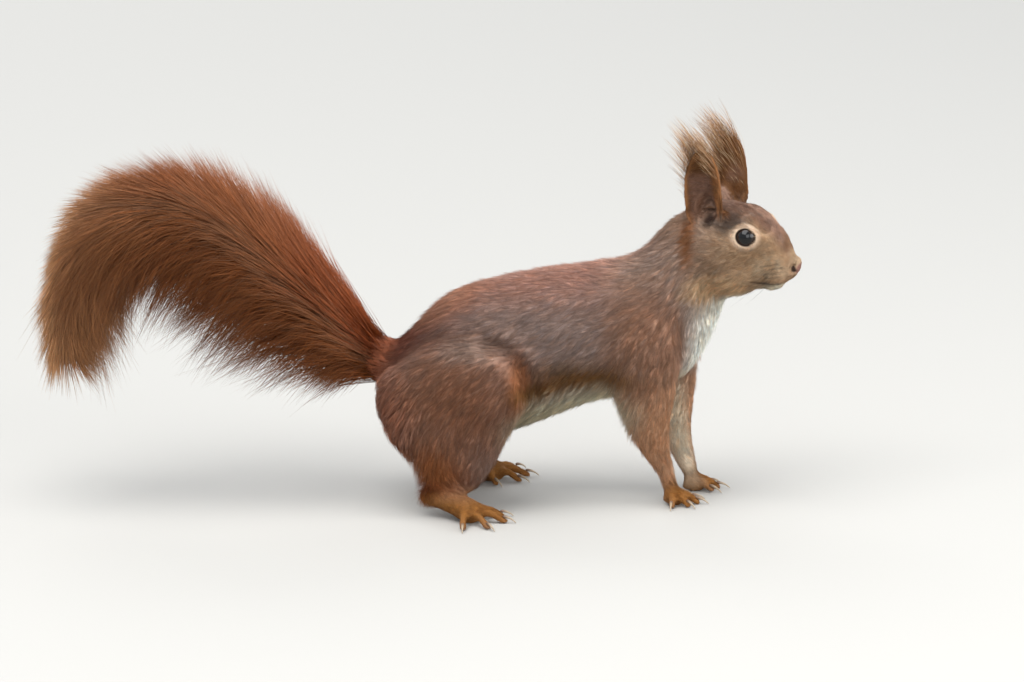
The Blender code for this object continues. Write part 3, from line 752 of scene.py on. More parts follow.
def hairPiece(name, paths, outward, wide, shades, spots, slotName):
    # three-sided tapered hairs, closed at the root, as one mesh
    count, steps = paths.shape[:2]
    along = unit(np.gradient(paths, axis=1))
    across = unit(np.cross(outward, along))
    over = np.cross(along, across)
    rings = []
    for angle in (90, 210, 330):
        c, s = math.cos(math.radians(angle)), math.sin(math.radians(angle))
        girth = np.array(taperOf[steps])[None, :, None] * wide[:, None, None] / 2
        rings.append(paths[:, :-1] + (across[:, :-1] * c + over[:, :-1] * s * hairFlat) * girth)
    rings = np.stack(rings, axis=2).reshape(count, -1, 3)
    verts = np.concatenate((rings, paths[:, -1:]), axis=1)
    each = verts.shape[1]
    last = 3 * (steps - 2)
    ring = ((0, 1), (1, 2), (2, 0))
    quads = [(j + a, j + b, j + 3 + b, j + 3 + a) for j in range(0, last, 3) for a, b in ring]
    caps = [(0, 2, 1)] + [(last + a, last + b, each - 1) for a, b in ring]
    pattern = np.array([v for face in quads + caps for v in face])
    sizes = np.array([4] * len(quads) + [3] * len(caps))
    loops = (pattern[None, :] + each * np.arange(count)[:, None]).ravel()
    totals = np.tile(sizes, count)

    mesh = bpy.data.meshes.new(name)
    mesh.vertices.add(count * each)
    mesh.vertices.foreach_set("co", ((verts + bodyStart) * mm).astype(np.float32).ravel())
    mesh.loops.add(len(loops))
    mesh.loops.foreach_set("vertex_index", loops.astype(np.int32))
    mesh.polygons.add(len(totals))
    starts = np.append(0, np.cumsum(totals)[:-1])
    mesh.polygons.foreach_set("loop_start", starts.astype(np.int32))
    mesh.polygons.foreach_set("use_smooth", np.ones(len(totals), bool))
    mesh.update(calc_edges=True)

    rows = np.repeat(np.arange(steps), [3] * (steps - 1) + [1])
    writeTones(mesh, shades[:, rows].reshape(-1, 3))
    spotU = np.append(np.tile([0.5, 0, 1], steps - 1), 0.5) * patchWide
    spotV = rows / (steps - 1) * patchWide
    low, high = spots.min(axis=0), spots.max(axis=0)
    place = (spots - low) / np.maximum(high - low, 1e-6) * (1 - 2 * patchWide) + patchWide / 2
    uv = place[:, None, :] + np.stack((spotU, spotV), axis=1)[None]
    layer = mesh.uv_layers.new(name="OFBake")
    layer.uv.foreach_set("vector", uv.reshape(-1, 2)[loops].astype(np.float32).ravel())

    piece = bpy.data.objects.new(name, mesh)
    bpy.context.scene.collection.objects.link(piece)
    mesh.materials.append(hairFinish)
    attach(piece, "root")
    tris = count * (6 * (steps - 2) + 4)
    print(f"{name}: {count} hairs, {tris} triangles")
    hairPiece.total += tris


hairPiece.total = 0

coatPlan = {
    "cover": 3.25,  # layers of hair over the skin, and where they differ
    "bodyCover": (
        ((74, 18, 40), (18, 14, 26), 2.6), ((82, 14, 8), (20, 18, 14), 1.3),
        ((-24, 26, 26), (18, 16, 14), 2.5), ((-46, 16, 44), (10, 18, 26), 4.3),
        ((-14, 34, 6), (38, 28, 13), 1.2), ((90, 0, 40), (16, 8, 30), 2.4),
        ((99, -4, 154), (18, 26, 20), 2.0), ((122, -7, 122), (22, 20, 20), 2.9),
        ((84, 12, 106), (22, 20, 16), 4.2), ((-38, 0, 84), (26, 24, 28), 4.2),
    ),
    "bare": {  # in the head: the nose and the nostrils, middle and reach; and round the eyes
        "nose": ((48.2, 0, -9.2), (2.4, 3, 2.8)),
        "nostril": ((46.5, 2.4, -9.2), (1.3, 2, 1.8)),
        "eye": 5.9,
    },
    "wide": (0.12, 0.011),  # a hair's width, and how it grows with its length
    "shade": (0.6, 0.95, 1.08),  # its tone at the root, in the middle and at the tip
    "rootTone": 1.3,  # lighter than that at the root, where a hair is only two steps long
    "stand": 0.3,  # how far its tip may stand off the skin, by its length
    "lowStand": 0.5,  # and how far it stands at least
    "set": 0.08,  # the root's depth in the skin
    "lifts": (0.75, 1.05),  # the share of its stand reached at its middle and its tip
    "lowest": 0.12,
    "lengths": (0.75, 1.2), "widths": (0.75, 1.25),  # of one hair, by the plan's
    "leans": (0.08, 0.13, 0.06),  # how far hairs, locks and the ends of hairs stray sideways
    "tones": (0.08, 0.13, 0.14),  # how much lighter or darker a stretch of coat, hair or lock can be
    "warmths": (0.04, 0.035),  # how much redder or greyer, for hairs and for locks
    "lock": 1.8,  # hairs rooted in one lock this wide lean, stand and shade alike
    "gather": 0.5,  # and their tips draw together by this share
    "limber": ("coatBib", "coatBreeches"),  # long enough to bend
    "long": 6.5,  # a hair's length, and where it differs
    "bodyLong": (
        ((-38, 0, 80), (30, 22, 34), 9.5), ((-16, 28, 56), (28, 18, 27), 7),
        ((-43, 18, 46), (13, 20, 28), 12.5), ((84, 10, 104), (22, 16, 20), 8),
        ((97, 0, 80), (14, 14, 30), 9), ((74, 18, 40), (18, 14, 24), 5),
        ((57, 18, 50), (10, 12, 16), 7), ((79, 14, 20), (14, 12, 14), 3.8),
        ((84, 14, 5), (18, 16, 10), 2.6), ((-22, 26, 26), (14, 14, 12), 5.5),
        ((-38, 24, 28), (10, 14, 16), 10), ((-33, 24, 12), (10, 9, 7), 4),
        ((-14, 36, 4), (34, 26, 10), 2.6), ((-54, 0, 65), (15, 14, 13), 5.0),
    ),
    "standing": (  # where it stands off further, and by how much more
        ((-46, 18, 38), (12, 18, 26), 5.4), ((-38, 24, 24), (9, 14, 18), 4.4),
        ((55, 18, 48), (9, 12, 16), 2.0), ((97, 0, 84), (12, 12, 24), 0.8),
        ((-54, 0, 65), (14, 13, 12), 1.4),
    ),
    "headLong": (
        ((14, 0, 0), (24, 26, 27), 4.6), ((24, 0, 2), (18, 16, 22), 3.4),
        ((38, 0, -6), (14, 14, 16), 2.6), ((28.7, 14, 8.1), (8.5, 8, 8), 1.9),
        ((46, 0, -6), (6, 8, 8), 1.1), ((9, 15, 26), (10, 9, 14), 3.2),
    ),
    "regions": {
        # a hair belongs to the piece whose middle is nearest; the order is kept
        "coatFace": ("head", (37, 0, -4)), "coatBrow": ("head", (24, 8, 8)),
        "coatCrown": ("head", (6, 0, 14)), "coatCheeks": ("head", (16, 14, -12)),
        "coatEars": ("head", (9, 16, 30)), "coatNeck": ("body", (80, 12, 108)),
        "coatBib": ("body", (97, 0, 74)), "coatShoulders": ("body", (64, 22, 82)),
        "coatForelegs": ("body", (73, 18, 42)), "coatForefeet": ("body", (82, 14, 5)),
        "coatBack": ("body", (24, 0, 106)), "coatFlanks": ("body", (22, 28, 76)),
        "coatBelly": ("body", (26, 0, 44)), "coatRump": ("body", (-36, 0, 84)),
        "coatThighs": ("body", (-10, 28, 60)), "coatBreeches": ("body", (-50, 16, 46)),
        "coatHindlegs": ("body", (-24, 26, 28)), "coatHindfeet": ("body", (-14, 36, 5)),
    },
}


def hairLength(places):
    found = daubed(places, coatPlan["long"], coatPlan["bodyLong"])
    return laidOver(found, toHead(places), coatPlan["headLong"], 0.3)[:, 0]


def regionOf(places):
    folded = {"body": oneSide(places), "head": oneSide(toHead(places))}
    regions = coatPlan["regions"]
    gaps = [lengths(folded[kind] - middle) for kind, middle in regions.values()]
    return np.array(list(regions))[np.stack(gaps).argmin(axis=0)]


def coatDensity(ground, hairLong, wide):
    # hairs to the square millimetre; none on the tail's bone, nose, nostrils, eyes, soles or ear bowls
    plan = coatPlan
    density = daubed(ground.middle, plan["cover"], plan["bodyCover"])[:, 0] / (0.6 * hairLong * wide)
    core = np.array([s[:3] for s in skinPlan["tailCore"]], float)
    density *= fromLine(ground.middle, core[4:]) > 8
    inHead = toHead(ground.middle)
    for spots, part in ((inHead, "nose"), (oneSide(inHead), "nostril")):
        middle, reach = plan["bare"][part]
        density *= lengths((spots - middle) / reach) > 1
    density *= ground.middle[:, 2] > 0.4
    for side in (-1, 1):
        density *= lengths(ground.middle - eyeCentre(side)) > plan["bare"]["eye"]
    bowl, reach, depth = pinnaPlan["bowl"]
    hollow = lengths((inHead[:, (0, 2)] - bowl) / np.array(reach))
    facing = (ground.flat @ headTurn.T)[:, 1] * np.sign(inHead[:, 1])
    return density * ((hollow > 0.75) | (np.abs(inHead[:, 1]) < 7) | (facing < 0.1))


def growCoat(ground):
    # each hair lies along the skin in two steps, and hairs rooted close by form a lock
    plan = coatPlan
    hairLong = hairLength(ground.middle)
    wide = plan["wide"][0] + plan["wide"][1] * hairLong
    density = coatDensity(ground, hairLong, wide)
    roots, on, outward = ground.sow(density * (1))
    count = len(on)
    squares = np.floor((roots + swirl(roots, 9, 12)[:, None] * 0.5) / plan["lock"]).astype(int)
    lock = np.unique(squares, axis=0, return_inverse=True)[1].ravel()
    locks = lock.max() + 1
    reach = hairLong[on] * dice.uniform(*plan["lengths"], count)
    wide = wide[on] * dice.uniform(*plan["widths"], count)
    ofHair, ofLock, ofEnd = plan["leans"]
    lean = dice.normal(0, ofHair, count) + dice.normal(0, ofLock, locks)[lock]
    way = ground.way[on]
    way = unit(way + np.cross(outward, way) * lean[:, None])
    first, onFirst = ground.nearest(roots + way * reach[:, None] / 2)
    flat = ground.flat[onFirst]
    onward = ground.way[onFirst]
    onward = unit(onward + np.cross(flat, onward) * (lean + dice.normal(0, ofEnd, count))[:, None])
    second, onSecond = ground.nearest(first + onward * reach[:, None] / 2)
    many = np.maximum(np.bincount(lock), 1)
    middle = np.stack([np.bincount(lock, second[:, i]) for i in range(3)], axis=1) / many[:, None]
    gather = (plan["gather"] * ease(reach, 2.5, 6))[:, None]
    second = mixed(second, middle[lock], gather)
    tall = np.minimum(np.maximum(sinkOf(roots), plan["lowStand"]), plan["stand"] * reach)
    tall = tall * dice.uniform(0.6, 1.3, locks)[lock] + daubed(roots, 0, plan["standing"])[:, 0]
    lift = dice.uniform(0.5, 1.0, count)[:, None] * tall[:, None]
    first = first + flat * lift * plan["lifts"][0]
    second = second + ground.flat[onSecond] * lift * plan["lifts"][1]
    paths = np.stack((roots - outward * plan["set"], first, second), axis=1)
    paths[..., 2] = np.maximum(paths[..., 2], plan["lowest"])
    base = coatTones(roots, outward)
    bold = 0.4 + 0.6 * ease(reach, 2, 6)
    ofPlace, ofHair, ofLock = plan["tones"]
    streak = swirl(roots, 4, 8) * ofPlace + dice.normal(0, ofHair, count)
    streak = streak + dice.normal(0, ofLock, locks)[lock] * bold
    ofHair, ofLock = plan["warmths"]
    warm = dice.normal(0, ofHair, count) + dice.normal(0, ofLock, locks)[lock]
    warmth = np.stack((np.exp(warm), np.ones_like(warm), np.exp(-warm)), axis=1)
    base = base * np.exp(streak)[:, None] * warmth
    shades = base[:, None, :] * np.array(plan["shade"])[None, :, None]
    region = regionOf(roots)
    for name in plan["regions"]:
        own = region == name
        if not own.any():
            continue
        rows = (0, 1, 2) if name in plan["limber"] else (0, 2)
        tints = shades[own][:, rows]
        if len(rows) == 2:
            tints[:, 0] *= plan["rootTone"]
        spots = unwrap(name, roots[own])
        hairPiece(name, paths[own][:, rows], outward[own][:, None, :], wide[own], tints, spots, "coat")


def unwrap(name, places):
    # the skin laid flat: along the part, and round it as an angle
    kind, middle = coatPlan["regions"][name]
    if kind == "head":
        spots = toHead(places)
        return np.stack((spots[:, 0], np.arctan2(spots[:, 1], spots[:, 2])), axis=1)
    if any(limb in name for limb in ("leg", "Thigh", "feet", "Breeches")):
        spin = np.arctan2(places[:, 0] - middle[0], np.abs(places[:, 1]) - middle[1])
        return np.stack((places[:, 2] + 200 * np.sign(places[:, 1]), spin), axis=1)
    return np.stack((places[:, 0], np.arctan2(places[:, 1], places[:, 2] - 74)), axis=1)


bareMarks = (
    # bare skin in the head: middle, reach and tone; the dark ovals are painted shade in the nostrils, at
    # the front of the mouth and deep in the ear bowls
    # the nose pad, then the nostrils darkened as painted shade in their openings
    ((48.4, 0, -9.4), (2.6, 3.0, 2.7), "nose"), ((46.5, 2.6, -9.2), (1.2, 1.8, 1.7), "dark"),
    # the lip line, then the mouth's front darkened as painted shade in its slit
    ((35.0, 8, -16.2), (6.5, 4, 0.7), "lip"), ((40.0, 5, -16.2), (2.0, 4, 0.8), "dark"),
    # painted shade deep in each ear's bowl, at its opening
    ((9.2, 12, 15.5), (2.6, 5, 4.0), "dark"),
)


skinShade = 0.72  # the skin's tone by the coat's over it
lidTone = tones["dark"] * 0.4


def skinTones(thing):
    # under the coat the skin is its colour in shade, and it is bare at the nose, lips and lids
    places = readPlaces(thing)
    found = coatTones(places, pointNormals(thing)) * skinShade
    found = laidOver(found, toHead(places), inTones(bareMarks), 0.25)
    for side in (-1, 1):
        high, along, across, wide = overEye(places, side, lidPlan["opening"])
        rim = (1 - ease(wide, 1.06, 1.2)) * (high > 0)
        found += rim[:, None] * (lidTone - found)
    return found


ground = coatGround(skin)
print("ground laid")
growCoat(ground)
print("coat grown:", hairPiece.total, "triangles")
skin.data.materials.clear()
skin.data.materials.append(underfurFinish())
writeTones(skin.data, skinTones(skin))


# ---- the tail's long hair
tailPlan = {
    # the bone, x, y and z, and how many degrees the hair leans off it above and below
    "stations": (
        (-45, 0, 61, 18, 58), (-56, 0, 67.5, 20, 64), (-70, 0, 81, 24, 68), (-85, 1, 95.5, 27, 72),
        (-100, 2, 111, 28, 78), (-116, 3, 125.5, 28, 80), (-130, 3.5, 136.5, 29, 74),
        (-145, 4.5, 142.5, 32, 66), (-160, 5, 143.5, 35, 62), (-175, 6, 140.5, 38, 60),
        (-188, 6.5, 132.5, 38, 58), (-197, 7, 120, 34, 54), (-202, 7, 105, 26, 48),
        (-204, 7, 91, 20, 42), (-204.5, 7, 79, 16, 34),
    ),
    "beside": 27,  # the lean of the hair on its sides
    "locks": 6000, "hairsPerLock": 6,
    "above": 0.38,  # the share of them on its upper half
    "underArch": (0.7, 50, 100),  # of those below, the share left alone; the rest are sown here, so long
    "underRoot": (0.91, 0.2),  # and the few past this share come as near the rump as this
    "short": 0.28,  # the share of locks cut short
    "flesh": ((0, 14, 35, 200), (8.5, 7.2, 5.2, 2.0)),  # its radius, at these places along the bone
    "longest": (20, 46, 1.5, 76),  # at the rump above and below, for each millimetre on, and at most
    "wide": 0.3,
    "pieces": 4,
    "finger": 2.4,  # how far the hairs of a lock stand apart at their tips
    "bow": (-0.03, 0.09),  # how far a hair bends along the bone, above and below, by its length
    "shade": (0.55, 0.95, 1.12),  # its tone at the root, in the middle and at the tip
}
tailTones = {
    # the far end's tone is sandy hair, lightened by painted light shining through the thin hair
    "root": "#803910", "upper": "#844925", "far": "#d9a272",
    # the grey-brown by the parting is its dark hair bases with a painted sheen
    "partingAndSheen": "#66503d", "under": "#7b4118", "tip": "#bf8e62",
}


def throughRows(rows, steps):
    # a smooth curve through the rows
    rows = np.array(rows, float)
    ends = np.vstack([2 * rows[0] - rows[1], rows, 2 * rows[-1] - rows[-2]])
    t = (np.arange(steps) / steps)[:, None]
    found = []
    for a, b, c, d in zip(ends, ends[1:], ends[2:], ends[3:]):
        square, cube = 2 * a - 5 * b + 4 * c - d, 3 * b - a - 3 * c + d
        found.append(0.5 * (2 * b + (c - a) * t + square * t**2 + cube * t**3))
    return np.vstack(found + [rows[-1:]])


tailRows = throughRows(tailPlan["stations"], 12)
tailAlong = np.concatenate(([0], np.cumsum(lengths(np.diff(tailRows[:, :3], axis=0)))))
tailEnd = tailAlong[-1]
tailWay = unit(np.gradient(tailRows[:, :3], tailAlong, axis=0))


def atTail(s):
    # the bone's place and way at s along it, its side and upper directions, and the two leans
    columns = [np.interp(s, tailAlong, c) for c in tailRows.T]
    way = unit(np.stack([np.interp(s, tailAlong, c) for c in tailWay.T], axis=-1))
    place = np.stack(columns[:3], axis=-1)
    side = unit(np.array((0.0, 1, 0)) - way * way[..., 1:2])
    return place, way, side, np.cross(side, way), columns[3:]


def tailShell():
    # the tail's solids as one closed shape, which its hair fills
    shell = joined(*[copyOf(node) for node in sorted(frame["nodes"]) if node.startswith("tail")])
    applied(shell, "DISPLACE", strength=skinPlan["swell"] * mm, mid_level=0)
    applied(shell, "REMESH", mode="VOXEL", voxel_size=1.5 * mm)
    faces = [tuple(p.vertices) for p in shell.data.polygons]
    tree = BVHTree.FromPolygons(readPlaces(shell).tolist(), faces)
    bpy.ops.object.delete()
    return tree


def tailLocks():
    # where each lock leaves the bone, round it and along it, where its tip comes, and its tone
    plan = tailPlan
    locks = int(plan["locks"] * (1))
    start = dice.uniform(1, tailEnd, locks)
    turn = dice.uniform(0, math.pi, locks)
    turn += 0.2 * np.sin(2 * turn)
    turn *= np.where(dice.random(locks) < 1 - plan["above"], -1, 1)
    pick = dice.random(locks) * (turn < 0)
    alone, arch, archLong = plan["underArch"]
    start = np.where(pick > alone, arch + start * archLong / tailEnd, start)
    few, near = plan["underRoot"]
    start = np.where(pick > few, (start - arch) * near, start)
    cut = dice.random(locks) < plan["short"]
    full = np.where(cut, dice.uniform(0.4, 0.8, locks), dice.uniform(0.84, 1.04, locks))
    upness = np.sin(turn)
    place, way, side, over, (above, below) = atTail(start)
    beside = plan["beside"]
    lean = beside + (above - beside) * np.maximum(upness, 0) + (below - beside) * np.maximum(-upness, 0)
    lean = np.radians(lean) * dice.uniform(0.72, 1.2, locks)
    radial = side * np.cos(turn)[:, None] + over * upness[:, None]
    outward = way * np.cos(lean)[:, None] + radial * np.sin(lean)[:, None]
    top, bottom, slope, most = plan["longest"]
    natural = np.minimum(top + (bottom - top) * ease(-upness, -0.3, 0.5) + slope * start, most)
    natural = natural * dice.uniform(0.85, 1.15, locks)
    natural *= 1 - 0.45 * ease(-upness, 0, 0.5) * (1 - ease(start, 2, 24))  # short below the rump
    shell = tailShell()
    hits = [shell.ray_cast(p, d)[3] for p, d in zip(place.tolist(), outward.tolist())]
    room = np.array([most if hit is None else hit for hit in hits])
    room = np.maximum(room, 27 * ease(start, tailEnd - 80, tailEnd - 20))
    arched = ease(start, 90, 125) * (1 - ease(start, 165, 200))
    room = room * (1 + (0.14 + 0.34 * arched) * ease(-upness, 0, 0.6))
    tall = np.minimum(natural, room) * full
    tips = place + outward * tall[:, None]
    tips[:, 2] -= 0.05 * tall
    return start, turn, tips, tall, arched, dice.normal(0, 0.13, locks)


def tailShades(along, upness, tall, shade):
    # red at the root, sandy at the far end and lightened there as painted light through the thin hair;
    # darker below and along the sides, where the parting's dark hair bases carry a painted grey sheen;
    # pale tips
    tone = {name: linear(code) for name, code in tailTones.items()}
    count = len(along)
    along = along[:, None]
    top = mixed(tone["root"], tone["upper"], ease(along, 20, 75))
    # towards the far end the hair turns sandy and is lightened further as painted light shining through it
    top = mixed(top, tone["far"], ease(along, tailEnd - 110, tailEnd - 40))
    rise = ease(upness, -0.35, 0.4)[:, None]
    low = tone["under"] + (tone["far"] - tone["under"]) * 0.3 * ease(along, tailEnd - 140, tailEnd - 50)
    base = mixed(low, top, rise)
    # the band along the parting: dark hair bases and a painted grey sheen, fainter towards the far end
    line = 0.5 - 0.35 * ease(along, tailEnd - 110, tailEnd - 60)
    base = mixed(base, tone["partingAndSheen"], np.exp(-(((upness + 0.05) / 0.26) ** 2))[:, None] * line)
    base = base * np.exp(shade + dice.normal(0, 0.13, count))[:, None]
    black = dice.random(count) < 0.1 * (1 - rise[:, 0]) + 0.03
    base[black] = base[black] * 0.5
    shades = base[:, None, :] * np.array(tailPlan["shade"])[None, :, None]
    # the tips grow paler towards the far end, partly as painted light through the thin fringe
    pale = (0.12 + 0.4 * ease(along, tailEnd - 60, tailEnd)) * (tall > 24)[:, None]
    return mixed(shades, tone["tip"], pale[:, None, :] * np.array((0, 0.2, 1))[None, :, None])


def growTail():
    plan = tailPlan
    start, turn, tips, tall, arched, shade = tailLocks()
    of = np.repeat(np.arange(len(start)), plan["hairsPerLock"])
    count = len(of)
    along = np.clip(start[of] + dice.normal(0, 3, count), 0, tailEnd)
    phi = turn[of] + dice.normal(0, 0.25, count)
    place, way, side, over, leans = atTail(along)
    upness = np.sin(phi)
    radial = side * np.cos(phi)[:, None] + over * upness[:, None]
    roots = place + radial * np.interp(along, *plan["flesh"])[:, None]
    spread = dice.normal(0, 1, (count, 3)) * plan["finger"] * ease(tall[of], 4, 40)[:, None]
    ends = roots + (tips[of] - roots) * dice.uniform(0.86, 1.05, count)[:, None] + spread
    bow = way * (tall[of] * np.where(upness > 0, *plan["bow"]))[:, None]
    u = np.array((0, 0.5, 1))[None, :, None]
    paths = roots[:, None] * (1 - u) + ends[:, None] * u + bow[:, None] * 4 * u * (1 - u)
    outward = np.repeat(radial[:, None], 3, axis=1)
    shades = tailShades(along, upness, tall[of], shade[of])
    wide = plan["wide"] * dice.uniform(0.7, 1.25, count) * (1 + 0.3 * arched[of] * (upness < -0.2))
    part = np.clip((along / tailEnd * plan["pieces"]).astype(int), 0, plan["pieces"] - 1)
    for i in range(plan["pieces"]):
        own = part == i
        spots = np.stack((along[own], phi[own] % (2 * math.pi)), axis=1)
        hairPiece(f"tailHair{i + 1}", paths[own], outward[own], wide[own], shades[own], spots, "tail_hair")


growTail()
print("tail grown:", hairPiece.total, "triangles")


# ---- the ears' tufts
tuftPlan = {
    "sown": 2.0,  # hairs to the square millimetre at the ear's tip
    "from": (22, 43),  # they start at this height and are thickest from this one
    "long": (5, 17.5),
    "lean": (-0.33, -0.3),  # back over their length, and more of it at the tip
    "wide": 0.14,
    "steps": 4,
    "mix": (0.25, 0.7),  # straw up to the first share of the hairs, rust up to the second, then brown
}
tuftTones = {"straw": "#c7ac88", "rust": "#b88a5f", "brown": "#7d5940"}


def growTufts():
    plan = tuftPlan
    inHead = toHead(ground.middle)
    onEar = (inHead[:, 2] > plan["from"][0]) & (np.abs(inHead[:, 1]) > 9.5) & (inHead[:, 0] < 20)
    flatOut = ground.flat @ headTurn.T
    inner = ease(flatOut[:, 1] * np.sign(inHead[:, 1]), -0.1, 0.3) * (1 - ease(inHead[:, 2], 31, 38))
    behind = ease(-flatOut[:, 0], -0.2, 0.7)
    rise = ease(inHead[:, 2], *plan["from"])
    density = plan["sown"] * onEar * (0.1 + rise) * (0.4 + behind) * (1 - inner)
    roots, on, outward = ground.sow(density * (1))
    count, steps = len(on), plan["steps"]
    inHead = toHead(roots)
    rise = ease(inHead[:, 2], *plan["from"])
    tall = mixed(*plan["long"], rise**1.2) * dice.uniform(0.4, 1.14, count)
    back = plan["lean"][0] + 0.13 * swirl(roots, 6, 21) + dice.normal(0, 0.11, count)
    sideways = np.sign(inHead[:, 1]) * dice.normal(0.0, 0.09, count)
    way = np.stack((back, sideways, np.ones(count)), axis=1)
    way = unit(way + outward @ headTurn.T * (0.5 * (1 - rise) + 0.08)[:, None])
    u = np.linspace(0, 1, steps)[None, :, None]
    bend = np.array((plan["lean"][1], 0, -0.03))
    paths = inHead[:, None] + (way[:, None] * u + bend * u**2) * tall[:, None, None]
    straw, rust, brown = (linear(code) for code in tuftTones.values())
    pick = dice.random(count)[:, None]
    base = np.where(pick < plan["mix"][0], straw, np.where(pick < plan["mix"][1], rust, brown))
    base = base * np.exp(dice.normal(0, 0.15, count))[:, None]
    # the far ear's tuft tips are mixed towards brown: painted shade on the far side of the head
    tip = mixed(base, brown, (0.5 * (inHead[:, 1] > 0))[:, None])
    low = coatTones(roots, outward)
    shades = np.stack((low * 0.8, (low + base) / 2, base, tip), axis=1)
    wide = plan["wide"] * dice.uniform(0.7, 1.3, count)
    outward = np.repeat(outward[:, None], steps, axis=1)
    spin = np.arctan2(inHead[:, 0] - 9, np.abs(inHead[:, 1]) - 13)
    spots = np.stack((inHead[:, 2], spin), axis=1)
    for side, name in ((-1, "earTuftRight"), (1, "earTuftLeft")):
        own = np.sign(inHead[:, 1]) == side
        hairPiece(name, fromHead(paths[own]), outward[own], wide[own], shades[own], spots[own], "ear")


growTufts()

# ---- eyes, claws and whiskers
eyePlan = {"bulge": 0.35, "cornea": 3.2, "pupil": 3.0, "iris": "#23150d", "black": "#060404"}
clawPlan = {"root": "#6b4f3c", "horn": "#a38f76", "weld": 0.01}
whiskerPlan = {
    # ahead and up on the pad, and length
    "roots": (
        (40.5, -7.2, 20), (38.6, -6.4, 24), (39.8, -9.2, 24),
        (37.6, -8.6, 28), (38.6, -11.2, 24), (36.4, -10.6, 27),
    ),
    "steps": 6,
    "wide": 0.13,
    "tone": "#241a15",
}


def glossFinish():
    # a live eye: wet clear cornea over a nearly black iris, so only the sky shows in it
    made, tree, shader = startFinish(
        "wetCornea", Roughness=0.04, IOR=1.376, Specular_IOR_Level=0.45, Coat_Weight=0.25, Coat_IOR=1.34
    )
    variedTone(tree, shader, 0.4, 0.8, 1.2)
    return made


def clawFinish():
    # claw keratin: smooth horn worn dull towards its tip, with growth lines 0.3 mm apart
    made, tree, shader = startFinish("clawHorn", Roughness=0.38, IOR=1.55)
    relief(tree, shader, variedTone(tree, shader, 0.3, 0.9, 1.08), 0.25, 0.0001)
    return made


def makeEye(side, node):
    bpy.ops.object.select_all(action="DESELECT")
    bpy.ops.mesh.primitive_uv_sphere_add(segments=64, ring_count=40, radius=eyeRadius * mm)
    eye = bpy.context.object
    eye.name = "eyeball" + node.title()
    own = np.array([v.co for v in eye.data.vertices]) / mm
    out, slit, over = eyeAxes(side)
    off = np.hypot(own[:, 0], own[:, 1])
    front = (own[:, 2] > 0) * np.exp(-((off / eyePlan["cornea"]) ** 2))
    own[:, 2] += eyePlan["bulge"] * front
    writePlaces(eye, eyeCentre(side) + own @ np.stack((slit, over, out)))
    share = ease(off, eyePlan["pupil"] - 0.25, eyePlan["pupil"] + 0.25)[:, None] * (own[:, 2:] > 0)
    writeTones(eye.data, mixed(linear(eyePlan["black"]), linear(eyePlan["iris"]), share))
    select(eye)
    bpy.ops.object.shade_smooth()
    eye.data.materials.append(corneaFinish)
    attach(eye, "root")
    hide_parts("eye_" + node)


def makeClaws():
    parts = []
    for node in sorted(n for n in frame["nodes"] if n.startswith("claw_")):
        claw = copyOf(node)
        welded(claw, clawPlan["weld"])
        applied(claw, "SUBSURF", levels=1, render_levels=1)
        spots = readPlaces(claw)
        limb, side = node.split("_")[1:3]
        middle = np.array(middleOf(f"{limb}_paw_{side}")) / mm - bodyStart
        far = lengths((spots - middle)[:, :2])
        share = ease(far, far.min() + 0.1 * np.ptp(far), far.min() + 0.6 * np.ptp(far))[:, None]
        writeTones(claw.data, mixed(linear(clawPlan["root"]), linear(clawPlan["horn"]), share))
        claw.data.materials.clear()
        parts.append(claw)
    claws = joined(*parts)
    claws.name = "claws"
    claws.data.materials.append(clawFinish())
    bpy.ops.object.shade_smooth()
    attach(claws, "root")
    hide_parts(*[n for n in frame["nodes"] if n.startswith("claw_")])


def growWhiskers():
    plan = whiskerPlan
    roots, ways, longs = [], [], []
    for side in (-1, 1):
        for i, (ahead, up, tall) in enumerate(plan["roots"]):
            roots.append(fromHead((ahead, side * 9, up)))
            ways.append((0.15 - 0.12 * (i % 2), side * 0.95, -0.05 - 0.09 * (i // 2)))
            longs.append(tall)
    roots, on = ground.nearest(np.array(roots))
    ways, longs = unit(np.array(ways) @ headTurn), np.array(longs, float)
    u = np.linspace(0, 1, plan["steps"])[None, :, None]
    droop = np.array((-0.42, 0, -0.16)) @ headTurn
    paths = roots[:, None] + (ways[:, None] * u + droop * u**2) * longs[:, None, None]
    outward = np.broadcast_to(np.array((0, 0, 1.0)), paths.shape)
    shades = np.broadcast_to(linear(plan["tone"]), paths.shape)
    spots = np.stack((toHead(roots)[:, 0] + 20 * np.sign(toHead(roots)[:, 1]), roots[:, 2]), axis=1)
    hairPiece("whiskers", paths, outward, np.full(len(longs), plan["wide"]), shades, spots, "coat")


corneaFinish = glossFinish()
makeEye(-1, "right")
makeEye(1, "left")
makeClaws()
growWhiskers()
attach(skin, "root")
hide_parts(*[n for n in frame["nodes"] if not n.startswith(("eye_", "claw_"))])
print("eyes, claws and whiskers set")


# ---- floor, light and camera
studioPlan = {
    "floor": "#b9b6b0", "air": "#dfe6ef", "airStrength": 1.05,
    "floorWide": 8, "aim": (0, 0, 0.08),  # metres
    # name: place in metres from the animal, size and watts; each looks at the animal
    "lamps": {
        "overhead": ((-0.25, -0.5, 1.7), 1.5, 32), "side": ((0.9, -1.6, 0.9), 1.2, 15),
        "behind": ((-0.8, 1.6, 1.2), 1.2, 12), "ahead": ((1.4, -0.45, 0.5), 0.8, 10),
    },
}
viewPlan = {
    "aim": (3.8029, 72.5634),  # along the view's right and up
    "height": 14.0, "round": 8.0, "roll": 3.0,  # degrees
    "away": 6000.0, "across": 468.0,
    "sensor": 36, "seen": 50,  # the sensor's width in mm, and how far is seen in metres
}


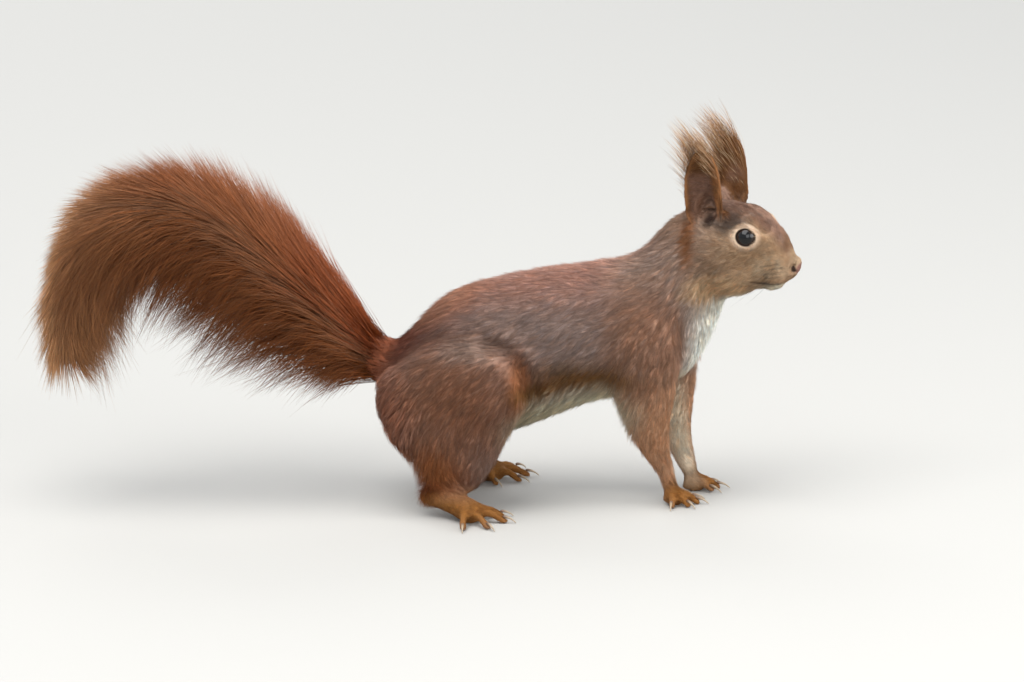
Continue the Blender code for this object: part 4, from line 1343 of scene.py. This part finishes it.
def makeFloor():
    # matt paper sweep: fibres 0.8 mm long, no gloss
    made, tree, shader = startFinish("paperSweep", Roughness=0.9, Specular_IOR_Level=0.2)
    relief(tree, shader, variedTone(tree, shader, 0.8, 0.99, 1.01), 0.05, 0.00005)
    bpy.ops.mesh.primitive_plane_add(size=studioPlan["floorWide"])
    floor = bpy.context.object
    floor.name = "floor"
    writeTones(floor.data, np.tile(linear(studioPlan["floor"]), (4, 1)))
    floor.data.materials.append(made)


def makeLight():
    air = bpy.data.worlds.new("studio")
    air.use_nodes = True
    sky = air.node_tree.nodes["Background"]
    sky.inputs["Color"].default_value = (*linear(studioPlan["air"]), 1)
    sky.inputs["Strength"].default_value = studioPlan["airStrength"]
    bpy.context.scene.world = air
    aim = Vector(studioPlan["aim"])
    for name, (place, size, watts) in studioPlan["lamps"].items():
        data = bpy.data.lights.new(name, "AREA")
        data.size = size
        data.energy = watts
        lamp = bpy.data.objects.new(name, data)
        lamp.location = place
        lamp.rotation_euler = (aim - Vector(place)).to_track_quat("-Z", "Y").to_euler()
        bpy.context.scene.collection.objects.link(lamp)


def makeCamera():
    plan = viewPlan
    height, around, roll = (math.radians(plan[k]) for k in ("height", "round", "roll"))
    right = Vector((math.cos(around), math.sin(around), 0))
    level = Vector((-math.sin(around), math.cos(around), 0))
    ahead = level * math.cos(height) - Vector((0, 0, math.sin(height)))
    up = level * math.sin(height) + Vector((0, 0, math.cos(height)))
    aim = (right * plan["aim"][0] + up * plan["aim"][1] + Vector(bodyStart)) * mm
    data = bpy.data.cameras.new("camera")
    data.sensor_width = plan["sensor"]
    data.lens = plan["sensor"] * plan["away"] / plan["across"]
    data.clip_end = plan["seen"]
    camera = bpy.data.objects.new("camera", data)
    bpy.context.scene.collection.objects.link(camera)
    c, s = math.cos(roll), math.sin(roll)
    turned = Matrix((right * c - up * s, right * s + up * c, -ahead)).transposed()
    camera.matrix_world = Matrix.Translation(aim - ahead * plan["away"] * mm) @ turned.to_4x4()
    bpy.context.scene.camera = camera


makeFloor()
makeLight()
makeCamera()
bpy.context.scene.view_settings.view_transform = "Standard"
